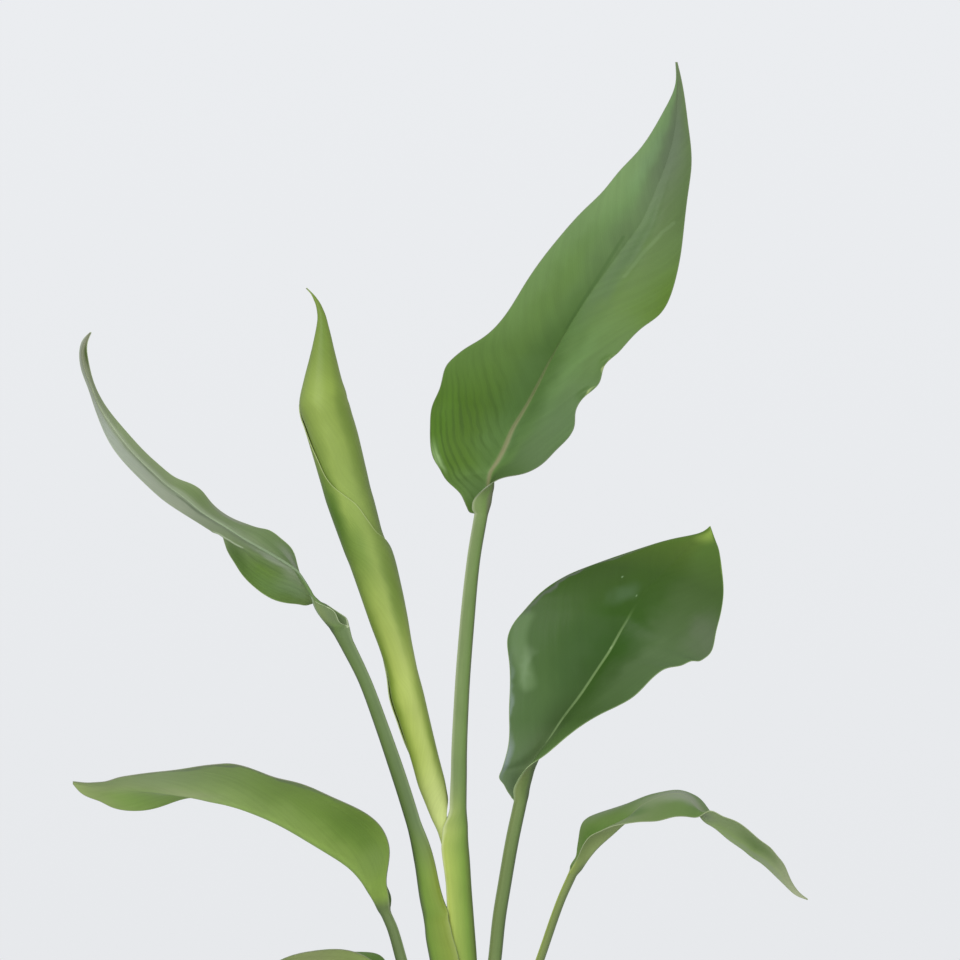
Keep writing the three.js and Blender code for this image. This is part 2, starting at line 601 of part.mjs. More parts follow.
function soil() {
  const bottom = potFloor + clearance;
  const collarFoot = potHeight - collarHeight;
  const outline = [
    [0, bottom],
    [potInside(bottom) - clearance, bottom],
    [potInside(collarFoot) - clearance, collarFoot],
    [potInside(collarFoot) - clearance + 0.3, soilHeight],
    [soilMoundRadius, soilHeight + soilMound * 0.4],
    [footHalfWidth, soilHeight + soilMound],
    [0, soilHeight + soilMound],
  ];
  const body = Manifold.revolve([outline], potSides);
  const hole = Manifold.cylinder(footDepth * 3, 1, 1, 32)
    .scale([footHalfWidth, footHalfDepth, 1])
    .translate([footCentre, 0, soilHeight - footDepth - clearance]);
  return solidGeometry(body.subtract(hole));
}

function named(name, geometry, finish) {
  const material = new THREE.MeshStandardMaterial({ ...finish, metalness: 0 });
  const mesh = new THREE.Mesh(geometry, material);
  mesh.name = name;
  return mesh;
}

// A leaf's two nodes: its stalk, and its blade with the height of its waves, arch and rib
function leaf(letter, rings, opening, stalkFinish, rows, shape, bladeFinish) {
  const bladeName = `leaf_${letter}_blade`;
  return [
    named(`leaf_${letter}_stalk`, stalk(rings, opening), stalkFinish),
    named(bladeName, blade(rows, shape, rings, opening), bladeFinish),
  ];
}

const { darkBlade, blueBlade, lowBlade, paleStalk, darkStalk } = finishes;
const shapeA = { arch: 0.05, wave: 0.8, phase: 0.4, rib: 2.4 };
const shapeB = { arch: 0.04, wave: 0.4, phase: 1.3, rib: 2.4 };
const shapeD = { arch: 0.05, wave: 0.9, phase: 2.1, rib: 2.2 };
const shapeE = { arch: 0.05, wave: 0.6, phase: 3.2, rib: 1.6 };
const shapeF = { arch: 0.05, wave: 0.5, phase: 4.4, rib: 1.3 };
const shapeG = { arch: 0.05, wave: 0.9, phase: 5.1, rib: 1.6 };

const plant = new THREE.Group();
plant.name = 'potted_bird_of_paradise';
plant.add(
  named('pot', pot(), finishes.pot),
  named('soil', soil(), finishes.soil),
  named('leaf_c_rolled', rolledLeaf(), finishes.newLeaf),
  ...leaf('a', stalkA, -1, paleStalk, bladeA, shapeA, darkBlade),
  ...leaf('b', stalkB, 1, paleStalk, bladeB, shapeB, blueBlade),
  ...leaf('d', stalkD, -1, darkStalk, bladeD, shapeD, darkBlade),
  ...leaf('e', stalkE, 1, darkStalk, bladeE, shapeE, lowBlade),
  ...leaf('f', stalkF, -1, darkStalk, bladeF, shapeF, lowBlade),
  ...leaf('g', stalkG, 1, darkStalk, bladeG, shapeG, lowBlade),
);

export default plant;
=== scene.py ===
"""A young bird of paradise in a plain pot: waved blades on grooved stalks, with its newest leaf
still rolled up. Sizes in the tables are in millimetres unless a comment says otherwise, and the
frame's own sizes are in metres."""

import math
import random

import bpy
import numpy as np
from bpy.props import FloatProperty, FloatVectorProperty, IntProperty, PointerProperty
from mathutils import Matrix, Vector, noise


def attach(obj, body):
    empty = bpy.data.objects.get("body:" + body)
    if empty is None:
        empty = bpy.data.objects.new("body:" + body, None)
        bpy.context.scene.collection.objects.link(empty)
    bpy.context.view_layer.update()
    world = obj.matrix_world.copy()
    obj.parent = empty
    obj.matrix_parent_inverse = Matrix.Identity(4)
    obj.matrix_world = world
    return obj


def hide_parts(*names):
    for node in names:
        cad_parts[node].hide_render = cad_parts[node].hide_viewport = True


bl_info = {
    "name": "Potted Bird of Paradise",
    "version": (1, 0, 0),
    "blender": (4, 5, 0),
    "location": "View3D > Sidebar > Plant",
    "description": "Builds a potted bird of paradise around its packed frame",
    "category": "Object",
}

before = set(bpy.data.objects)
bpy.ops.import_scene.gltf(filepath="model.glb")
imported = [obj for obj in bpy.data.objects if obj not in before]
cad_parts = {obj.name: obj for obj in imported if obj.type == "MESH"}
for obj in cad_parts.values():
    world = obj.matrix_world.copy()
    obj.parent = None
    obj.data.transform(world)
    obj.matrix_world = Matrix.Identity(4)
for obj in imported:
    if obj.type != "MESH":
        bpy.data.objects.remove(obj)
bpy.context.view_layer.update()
MM = 0.001
# Keeps a division by a length from failing
TINY = 1e-9

# Each row of a blade goes from its base to its tip: left margin, midrib, right margin, as seen on
# the upper face with the tip up.
BLADE_A = [
    [(3.6, 2.5, 470), (11.5, 0.5, 476), (4.5, -3, 471.5)],
    [(-0.5, 2.4, 479.5), (12.3, 1.5, 482.4), (4.6, -4.3, 480.6)],
    [(-2.5, 2, 483.2), (12.9, 2.2, 486), (9.5, -5, 485.5)],
    [(-9.7, -0.8, 490.4), (13.3, 2.8, 493.7), (20, -6.8, 491.4)],
    [(-12.6, -2.6, 495.4), (15.3, 3.2, 497.6), (28.5, -7.2, 493)],
    [(-15.8, -4.2, 500.8), (17.9, 3.2, 502.2), (37.4, -7.2, 497.1)],
    [(-17.4, -5, 509.9), (21.2, 3.1, 509.2), (45.4, -6.7, 504.7)],
    [(-17.4, -5.8, 517.7), (23.8, 3.8, 515.3), (51, -6.8, 510.2)],
    [(-16.5, -6.6, 526.6), (27.6, 4.7, 521.8), (54.7, -6.5, 517)],
    [(-13.1, -7.2, 534.6), (31.6, 5.2, 528.6), (55.3, -6.2, 524.6)],
    [(-11.3, -7.5, 541.2), (35.1, 5.1, 535.2), (59.6, -6.4, 531.5)],
    [(-9, -7.9, 547.4), (38.9, 4.9, 542.7), (67, -6.9, 538.7)],
    [(-5.1, -8.2, 551.4), (41.5, 4.9, 547.9), (69.4, -7, 546.4)],
    [(-0.3, -8.5, 555.1), (43.9, 5.1, 552.3), (74.3, -6.9, 551.4)],
    [(9.2, -8.6, 561), (47.7, 4.1, 559.4), (80.9, -6.6, 558.3)],
    [(20.3, -7.9, 572.8), (53.3, 2.6, 568.9), (88.7, -6.2, 566.1)],
    [(29.4, -6.7, 587.2), (59.7, 1.3, 578.9), (96.4, -5.7, 571.9)],
    [(47.4, -5.2, 611.5), (74.1, 0.4, 599.4), (105.1, -4.2, 589.8)],
    [(57.8, -3.9, 623.4), (81.3, 0.6, 609.2), (107.8, -3.2, 602.9)],
    [(68.4, -2.4, 633.8), (88.2, 0.8, 619), (109.5, -2.4, 617.3)],
    [(77.4, -0.9, 644.7), (93.8, 1, 631.4), (111.4, -1.7, 632.6)],
    [(86.7, 0.1, 654.7), (99, 1.2, 644.4), (113.2, -0.9, 646.2)],
    [(99.6, 0.9, 675.1), (105.3, 1.6, 668.1), (111.7, 0.9, 667.6)],
    [(105.4, 0.3, 689.8), (106.2, 0.8, 687.8), (108.8, 0.3, 687.8)],
    [(105.1, 0.1, 699), (106, 0.2, 699), (106.3, 0.1, 698.9)],
]
BLADE_B = [
    [(-57.1, -2.5, 416.9), (-66.2, -2.5, 415.2), (-56.5, 3.5, 419.5)],
    [(-62.7, -3.4, 419.2), (-70.2, -3.1, 419.8), (-64.5, 5.5, 424.3)],
    [(-65.3, -4.5, 424.5), (-74.6, -4, 426.4), (-70.5, 8, 427.8)],
    [(-74.1, -5, 429), (-77.5, -6, 435.5), (-77.1, 12, 427.8)],
    [(-75.9, -4.7, 430.7), (-78.7, -6.5, 437.7), (-79.8, 12.8, 427)],
    [(-78.3, -4.1, 433.8), (-80.6, -7.3, 440.8), (-83.5, 13.6, 427.4)],
    [(-80.6, -3, 437.4), (-82.9, -8, 444.1), (-87.9, 14, 427.8)],
    [(-82.7, -0.5, 443.7), (-88, -8.8, 448), (-96.9, 14.7, 429.9)],
    [(-83.6, 1, 446.8), (-90.7, -9, 449.7), (-101.2, 15, 432.3)],
    [(-87.5, 6, 456.4), (-99.9, -9, 455.1), (-113.3, 16, 442.5)],
    [(-92.4, 8.5, 460.5), (-104.6, -9, 457.7), (-117.6, 16.5, 448.1)],
    [(-99.1, 11, 464.7), (-109.8, -9, 460.7), (-122.2, 17, 453.9)],
    [(-103.9, 12.1, 465.7), (-112.9, -9.1, 462.7), (-124.2, 17.1, 457.6)],
    [(-109.8, 13.1, 467.7), (-116.5, -9.1, 465.1), (-126.3, 17.1, 462)],
    [(-115.4, 14, 470), (-120.3, -9, 467.5), (-129.7, 17, 465.1)],
    [(-128.4, 16, 479.4), (-131.8, -8, 474.5), (-140.1, 17, 472.2)],
    [(-132.5, 16.6, 484.1), (-136.8, -7.5, 478.6), (-145.7, 17.1, 475.7)],
    [(-138.6, 17, 487.9), (-142.9, -7, 483.3), (-152.5, 17, 480.1)],
    [(-145.8, 16.7, 490.9), (-148.6, -6.5, 487.5), (-158.8, 16.6, 485.4)],
    [(-152.3, 16, 496.1), (-154, -6, 492.4), (-164.9, 16, 491.5)],
    [(-163.4, 14, 506.4), (-165.4, -5, 503.4), (-175.4, 14, 503.9)],
    [(-173, 11, 517.1), (-175.6, -3, 516.1), (-181.6, 11, 514.3)],
    [(-181, 8, 528.2), (-183.1, -1, 527.6), (-185.9, 8, 526.2)],
    [(-186.2, 5, 539.2), (-187.4, 0, 538.3), (-189.2, 5, 537.1)],
    [(-188.5, 2, 549.9), (-191, -0.5, 549), (-192.8, 3.5, 548.5)],
    [(-188.7, 0, 558.2), (-190.4, -0.5, 557.7), (-191.7, 2, 559.3)],
    [(-186.8, 0, 563.6), (-187, -0.4, 564), (-187.4, 0.6, 563.9)],
]
BLADE_D = [
    [(24.2, 3, 328.5), (30.5, 1, 330), (24.4, -3, 331.5)],
    [(23.2, 3.4, 331.1), (30.9, 1, 333.1), (24.2, -3.8, 335.4)],
    [(21.2, 3.5, 334), (31.5, 1, 336.9), (25.8, -5, 339.5)],
    [(19.2, 2.4, 337.7), (32.5, 1.5, 340.6), (28, -6.4, 343)],
    [(17, 1.2, 341.2), (33.6, 2.2, 344.8), (31, -8.2, 346.8)],
    [(18.1, 0.2, 344.6), (34.9, 3.4, 348.2), (34.5, -9.8, 349.6)],
    [(18.9, -1, 346.9), (36.2, 4, 351.3), (38.1, -11, 352)],
    [(21.5, 0.8, 357), (41, 4.2, 358), (49.6, -11.2, 361.4)],
    [(22, 2.6, 372.9), (49, 5.6, 369.9), (67.4, -12.4, 373.9)],
    [(22.5, 5.1, 386.5), (57.4, 7.2, 381.1), (83.9, -11.9, 382.1)],
    [(22, 7.3, 399.4), (65, 9, 392.3), (94.3, -9.7, 392.5)],
    [(21.3, 8.6, 405.1), (68.8, 9.5, 398), (100.5, -8.1, 396.5)],
    [(21.4, 10.2, 410.9), (72.9, 10.4, 404.3), (107.9, -5.9, 397.7)],
    [(23.3, 11.6, 416.1), (76.2, 11.3, 410.2), (113.2, -3.5, 399.6)],
    [(25.9, 12.7, 420), (79, 11.9, 415.3), (116.8, -1.3, 399.4)],
    [(28.9, 13.8, 423.4), (81.8, 12.6, 420), (119.3, 0.7, 400.3)],
    [(34.3, 15.4, 429.3), (84.7, 15, 425), (123.5, 4.2, 404.1)],
    [(40, 17.1, 434.6), (87.6, 17.4, 429.5), (125.7, 8.2, 412)],
    [(50.3, 20.3, 441.3), (92.2, 20.6, 435.2), (128, 12.7, 420.1)],
    [(63.4, 24, 446.7), (99, 24.5, 442), (130.1, 18, 429.6)],
    [(88.8, 30, 455.2), (110.8, 30.9, 452.8), (130.1, 27, 444.6)],
    [(108, 35.1, 460.5), (119.4, 36, 460), (128.8, 34.1, 454.9)],
    [(121.4, 39.3, 463.8), (124.8, 39.4, 464), (126.8, 38.3, 460.7)],
    [(124.6, 40.1, 466.4), (125, 40.2, 466.5), (124.9, 40.1, 466.3)],
]
BLADE_E = [
    [(-37.7, -3, 275), (-42, 0, 273), (-37.5, 3, 275)],
    [(-37.9, -7, 282.1), (-45, -1, 279.8), (-37, 6, 280)],
    [(-39, -10.9, 290.1), (-47.8, -1.7, 284.6), (-38.5, 9.8, 284)],
    [(-38.4, -13.9, 296.4), (-49.8, -2, 288), (-40, 12.9, 287.4)],
    [(-37.4, -20.1, 307.6), (-56.6, -2, 296.1), (-42, 19.1, 298.1)],
    [(-41.6, -24, 318.8), (-65.8, -2, 302.7), (-48.1, 23, 309.1)],
    [(-51.5, -27, 327.3), (-76.3, -2, 309.1), (-57.4, 25, 317)],
    [(-66.7, -28, 334.1), (-88.2, -2, 316), (-70.7, 27, 324.1)],
    [(-83, -28, 340.9), (-99.5, -2, 321.4), (-86, 28, 330)],
    [(-94, -27.5, 343.7), (-107.1, -2.1, 324.4), (-96, 28.1, 332.9)],
    [(-99.9, -27, 345.7), (-111.1, -2, 325.8), (-101.1, 28, 334)],
    [(-116.1, -25, 349.7), (-122.6, -1, 328.7), (-114.1, 27, 334.5)],
    [(-121.6, -23.9, 349.5), (-127.1, -0.6, 329.5), (-119.2, 26.4, 333)],
    [(-129.4, -22, 348.8), (-133.3, 0, 330.8), (-126.9, 25, 330.5)],
    [(-143.1, -18, 346.4), (-144.6, 1, 332.5), (-141.2, 21, 328.9)],
    [(-155.7, -14.9, 344.6), (-155.7, 1, 334), (-154.1, 16.9, 325.2)],
    [(-167.7, -11, 342.9), (-166.6, 1, 335), (-165.6, 13, 323.6)],
    [(-172.6, -9.3, 341.9), (-171.4, 1, 335.4), (-170.9, 11.4, 323.9)],
    [(-179, -7, 339.8), (-178, 1, 336), (-178.1, 9, 325.9)],
    [(-184.3, -4.7, 339.1), (-183.6, 0.8, 336.4), (-183.4, 6.3, 328.9)],
    [(-188.4, -3, 338.8), (-187.9, 0.5, 337), (-188, 4, 330.8)],
    [(-192.4, -1.7, 339), (-192.2, 0.2, 337.9), (-192.7, 2.1, 333.7)],
    [(-196, -0.6, 339.3), (-196, 0, 339), (-196.2, 0.6, 338.1)],
]
BLADE_F = [
    [(52, 2, 295.5), (56.5, -0.5, 293.5), (52.5, -2.5, 295)],
    [(54.1, 4.1, 299.1), (60.1, -0.5, 299.2), (55.6, -4.5, 300.6)],
    [(55.3, 5, 300.7), (61.4, -0.7, 301.1), (56.5, -5.3, 302.4)],
    [(56.2, 7.1, 304.5), (64.1, -1, 304.6), (58, -7.1, 306.2)],
    [(57.2, 10, 310.3), (68.4, -1, 309), (61.3, -10, 311.8)],
    [(59.2, 13, 317.5), (73.6, -1, 313.5), (66, -13, 315.1)],
    [(65.5, 16, 321.5), (77.9, -1, 317.5), (72.5, -16, 318.1)],
    [(74.9, 19, 324.4), (82.9, -1, 322), (79.8, -18, 319.6)],
    [(84.6, 20, 327.4), (87.6, -1, 326.6), (87.5, -19, 320.7)],
    [(93.2, 21, 330.4), (94.1, -1, 330.1), (95.7, -19, 321.4)],
    [(100.4, 21, 332), (101.5, -1, 332.5), (102.9, -18, 323)],
    [(108, 20, 333), (109, -1, 332.5), (110, -16, 322.8)],
    [(114.8, 19, 331.2), (114.6, -2, 327.6), (116, -13, 322.6)],
    [(120.3, 18, 326.8), (118.9, -3, 320.6), (121.9, -14.5, 325.9)],
    [(125.9, 17, 320.1), (124, -3, 317.1), (127.9, -16, 323.4)],
    [(128.8, 16.7, 317.9), (126.8, -3, 315), (130.8, -16.3, 322.2)],
    [(133.5, 16, 314.5), (131.4, -3, 311), (135.4, -16, 320)],
    [(141.1, 14, 309), (139.9, -2, 304.8), (143.5, -15, 313.8)],
    [(144.4, 13.2, 306.4), (143.1, -2, 302.1), (147, -14.3, 311)],
    [(148.6, 12, 302.9), (147.7, -2, 299.1), (151.7, -13, 307.5)],
    [(151.8, 10.2, 299.8), (151.5, -1.6, 295.9), (155, -11.3, 303.5)],
    [(155.1, 8, 296.4), (155.1, -1, 292.4), (158.3, -9, 299.3)],
    [(161.4, 4, 289.6), (161, -0.5, 286.6), (162.5, -4, 290.6)],
    [(166.4, 1.5, 284.1), (166.4, 0, 282.1), (167.2, -1, 283.8)],
    [(171, 0.6, 280), (171.4, 0, 280.2), (171.4, -0.6, 280.4)],
]
BLADE_G = [
    [(-37.5, -3, 237.5), (-41, 0, 234), (-36.5, 3, 238.5)],
    [(-40.5, -7, 245), (-47, -1, 238.5), (-38, 6, 244.5)],
    [(-48, -13, 252.5), (-56, -2, 240.5), (-42.5, 13, 250.5)],
    [(-61.5, -18, 257.5), (-67.5, -2, 240.5), (-53.5, 18, 252)],
    [(-79.5, -21, 256), (-81, -2, 238), (-71, 21, 249.5)],
    [(-99.5, -22, 248.5), (-96, -2, 232), (-88.5, 22, 243)],
    [(-117.5, -21, 238), (-111, -2, 224), (-106.5, 21, 234)],
    [(-134, -18, 225.5), (-126, -1, 213.5), (-123.5, 19, 223)],
    [(-148, -13, 210.5), (-140.5, -1, 202), (-139, 14, 210.5)],
    [(-158.5, -7, 195), (-153, 0, 190), (-152.5, 8, 197)],
    [(-166, -1.5, 181), (-163.5, 0, 179.5), (-164, 2, 182.5)],
    [(-168, -0.6, 175.5), (-167.5, 0, 175), (-167.3, 0.6, 175.5)],
]

# Each ring of a stalk, from its foot up: centre x, height z, how far the back stands out behind
# the centre and how thick it is there, how far the wings reach in front, half the depth along y,
# how thick the wings are, and how far round they go, in degrees from the back.
STALK_A = [
    (-1.5, 108, 7.7, 4.5, 4.2, 4, 0.8, 150),
    (-1.5, 130, 7.7, 4.5, 4.2, 4, 0.8, 150),
    (-1.7, 150, 8.5, 5.2, 4.3, 4.1, 0.8, 150),
    (-2, 175, 9.4, 6, 4.4, 4.2, 0.8, 150),
    (-2.4, 200, 10, 6.5, 4.5, 4.3, 0.8, 150),
    (-3, 225, 10.2, 6.6, 4.6, 4.4, 0.8, 150),
    (-3.8, 250, 9.8, 6.1, 4.7, 4.5, 0.8, 150),
    (-4.6, 270, 9.1, 5.3, 4.8, 4.6, 0.8, 150),
    (-5.4, 287.5, 8.6, 4.8, 4.8, 4.6, 0.8, 150),
    (-7.2, 305, 9.2, 5.3, 5.9, 4.9, 0.8, 140),
    (-11, 315, 12.5, 6.6, 5, 5.2, 0.8, 92),
    (-3.6, 326.5, 4.4, 3.4, 8.2, 4.8, 1.1, 120),
    (-4, 347, 5, 4, 6, 3.9, 1.2, 120),
    (-2.7, 380, 4.7, 3.7, 5.6, 3.7, 1.2, 120),
    (0.3, 420, 4.5, 3.5, 5.5, 3.6, 1.2, 120),
    (3.4, 450, 4.2, 3.2, 5, 3.5, 1.2, 120),
    (7.2, 472.5, 4.2, 3.2, 5.2, 3.5, 1.2, 120),
]
STALK_B = [
    (0, 108, 10.4, 4.3, 7.5, 6.05, 0.9, 115),
    (0, 130, 10.4, 4.3, 7.5, 6.05, 0.9, 115),
    (0, 150, 10.7, 4.3, 8.1, 6.15, 0.9, 115),
    (0, 175, 11.2, 4.4, 8.7, 6.25, 0.9, 110),
    (0, 200, 12, 4.7, 8.9, 6.35, 0.9, 98),
    (-0.5, 225, 13.5, 6, 9, 6.35, 0.9, 94),
    (-2.5, 250, 15, 8.6, 9.8, 6.35, 0.9, 88),
    (-6.3, 263, 13.5, 10.3, 8, 5.7, 0.9, 90),
    (-8, 270, 12.5, 10.6, 6, 5.3, 1.1, 90),
    (-14, 276.5, 7.75, 7, 5.2, 5.2, 1.5, 150),
    (-19.5, 300, 6, 5.3, 4.6, 4.6, 1.5, 150),
    (-25.4, 320, 4.4, 3.6, 5.6, 3.8, 1.3, 120),
    (-31.6, 340, 4.4, 3.5, 5.4, 3.7, 1.2, 120),
    (-42, 370, 4, 3.1, 5, 3.5, 1.2, 120),
    (-49.6, 390, 3.8, 2.9, 4.9, 3.4, 1.2, 120),
    (-58.3, 408, 4.2, 3.2, 5.5, 3.5, 1.2, 120),
    (-61.8, 414.5, 4.3, 3.2, 9, 3.5, 1.2, 120),
]
STALK_D = [
    (-0.5, 108, 11.7, 4.2, 11, 7.5, 0.9, 100),
    (-0.5, 130, 11.7, 4.2, 11, 7.5, 0.9, 100),
    (-0.5, 150, 12, 4.3, 11.2, 7.6, 0.9, 90),
    (-0.5, 175, 12.4, 4, 11, 7.7, 0.9, 86),
    (0, 200, 12.6, 4.5, 11, 7.8, 0.9, 80),
    (10.5, 225, 4, 3, 3.1, 3.9, 1.2, 150),
    (14.2, 250, 4, 3.1, 3.1, 3.7, 1.2, 150),
    (16.3, 270, 4, 3.1, 3.1, 3.6, 1.2, 150),
    (19.5, 290, 4, 3.1, 3.1, 3.5, 1.2, 150),
    (23, 310, 4, 3.1, 3.1, 3.5, 1.2, 150),
    (27, 328.5, 3.9, 3, 3.1, 3.5, 1.2, 150),
]
STALK_E = [
    (-0.5, 108, 14.3, 4, 12.9, 8.8, 0.9, 92),
    (-0.5, 130, 14.3, 4, 12.9, 8.8, 0.9, 92),
    (-0.5, 150, 15, 4.4, 13.2, 8.9, 0.9, 90),
    (-4, 175, 13, 5.4, 8, 7.3, 0.9, 90),
    (-8, 187, 10.6, 6.5, 6, 5.9, 0.9, 90),
    (-16, 200, 4.5, 3.6, 3.7, 4.2, 1.3, 150),
    (-24.2, 225, 3.7, 2.8, 3, 3.6, 1.1, 150),
    (-31.4, 250, 3.2, 2.4, 2.8, 3.2, 1.1, 150),
    (-35.9, 265.5, 3, 2.2, 2.7, 3.1, 1, 150),
    (-38.9, 272.5, 2.9, 2.1, 2.6, 3, 1, 150),
]
STALK_F = [
    (0, 108, 15.5, 3.8, 12, 8.7, 0.8, 88),
    (0, 130, 15.5, 3.8, 12, 8.7, 0.8, 88),
    (5, 150, 11.2, 4.2, 6, 8.2, 0.8, 90),
    (9, 162, 7.9, 4.6, 5, 6.1, 0.8, 90),
    (15.2, 175, 2.9, 2, 2.4, 3.3, 1, 150),
    (20.2, 200, 2.7, 1.9, 2.3, 3, 1, 150),
    (28, 225, 2.5, 1.8, 2.2, 2.8, 0.9, 150),
    (37.2, 250, 2.4, 1.7, 2.1, 2.6, 0.9, 150),
    (47.8, 280, 2.3, 1.6, 2.1, 2.5, 0.9, 150),
    (53.6, 293, 2.4, 1.6, 2.2, 2.5, 0.9, 150),
]
STALK_G = [
    (-0.5, 108, 18.5, 3.8, 12, 10, 0.8, 85),
    (-0.5, 130, 18.5, 3.8, 12, 10, 0.8, 85),
    (-8, 150, 12, 4, 8, 9, 0.8, 90),
    (-13, 162, 8, 4.2, 5, 6.6, 0.8, 90),
    (-20.3, 175, 3.1, 2.2, 2.7, 3.4, 1.1, 150),
    (-25.5, 192.5, 2.9, 2.1, 2.6, 3.2, 1, 150),
    (-31, 207.5, 2.8, 2, 2.5, 3, 1, 150),
    (-35, 222.5, 2.7, 1.9, 2.5, 2.9, 1, 150),
    (-38.4, 234, 2.8, 1.9, 2.5, 2.9, 1, 150),
]

# Each ring of the rolled leaf, from its foot up: centre x and z, radius along x and along y, the
# angle of the outer margin, the whole angle that the sheet goes round, and its thickness in the
# middle. Angles are in degrees from +x toward the back.
ROLLED_LEAF = [
    (-1.5, 108, 2.8, 2.8, -70, 220, 2.1),
    (-1.7, 150, 2.9, 2.9, -70, 220, 2.2),
    (-2.4, 200, 3.1, 3.1, -70, 220, 2.4),
    (-3.8, 250, 3.3, 3.3, -70, 220, 2.5),
    (-5.4, 287.5, 3.4, 3.4, -70, 220, 2.6),
    (-7.5, 305, 3.8, 3.4, -70, 220, 2.6),
    (-9.7, 314, 4, 3.6, -65, 230, 2.6),
    (-12.2, 322, 5.1, 4.5, -50, 250, 2.4),
    (-14.5, 330, 6.2, 5.7, 0, 330, 1.4),
    (-17.4, 340, 7.4, 7.1, 95, 430, 0.9),
    (-20.1, 350, 7.6, 7.5, 140, 450, 0.8),
    (-25.6, 370, 8.4, 8.1, 178, 450, 0.8),
    (-29, 382, 9, 8.7, 180, 450, 0.8),
    (-31.6, 394, 8.4, 8.4, 165, 450, 0.8),
    (-34.3, 405, 8.8, 8.8, 150, 450, 0.8),
    (-38.3, 420, 10.1, 10.1, 100, 450, 0.8),
    (-42.4, 435, 11, 11, 52, 450, 0.8),
    (-46.9, 450, 11.6, 11.6, 10, 450, 0.8),
    (-49.6, 456.5, 11.5, 11.5, -18, 450, 0.8),
    (-51.3, 461, 11.4, 11.4, -44, 450, 0.8),
    (-53.5, 468, 11.7, 11.7, -61, 450, 0.8),
    (-56.3, 477, 12.1, 12.1, -78, 450, 0.8),
    (-58.2, 483, 12.2, 12.2, -99, 450, 0.8),
    (-59.9, 489.7, 12.3, 12.3, -125, 450, 0.8),
    (-61.3, 495, 12.4, 12.4, -138, 450, 0.8),
    (-63.3, 502.7, 12.6, 12.6, -148, 450, 0.8),
    (-65.7, 511.5, 12.8, 12.8, -162, 450, 0.8),
    (-68, 519, 12.8, 12.8, -176, 450, 0.8),
    (-70, 525, 13.1, 13.1, -189, 450, 0.8),
    (-71.2, 530, 12.8, 12.8, -200, 450, 0.8),
    (-71.4, 540, 10.2, 10.2, -225, 440, 0.8),
    (-71.3, 550, 7.6, 7.6, -240, 430, 0.8),
    (-71.3, 560, 5.1, 5.1, -250, 410, 0.8),
    (-71.6, 570, 2.7, 2.7, -260, 390, 0.8),
    (-73.2, 577, 1.5, 1.5, -260, 320, 0.7),
    (-75.6, 581.5, 0.9, 0.9, -260, 240, 0.6),
    (-79.5, 585.8, 0.6, 0.6, -260, 160, 0.5),
]
ROLL_ROWS = 330
ROLL_COLUMNS = 130
# How far the sheet goes in with each turn, and the radius below which that gets less
ROLL_PITCH = 1.05
ROLL_FULL_RADIUS = 6
# How thick the sheet is at its edges, and how it gets thicker from there: quickly for a low power
ROLL_EDGE = 0.5
ROLL_FULLNESS = 0.7
# Where the colours of the rolled leaf begin, and the height that they take
ROLL_LOOK_START = 300
ROLL_LOOK_LENGTH = 290

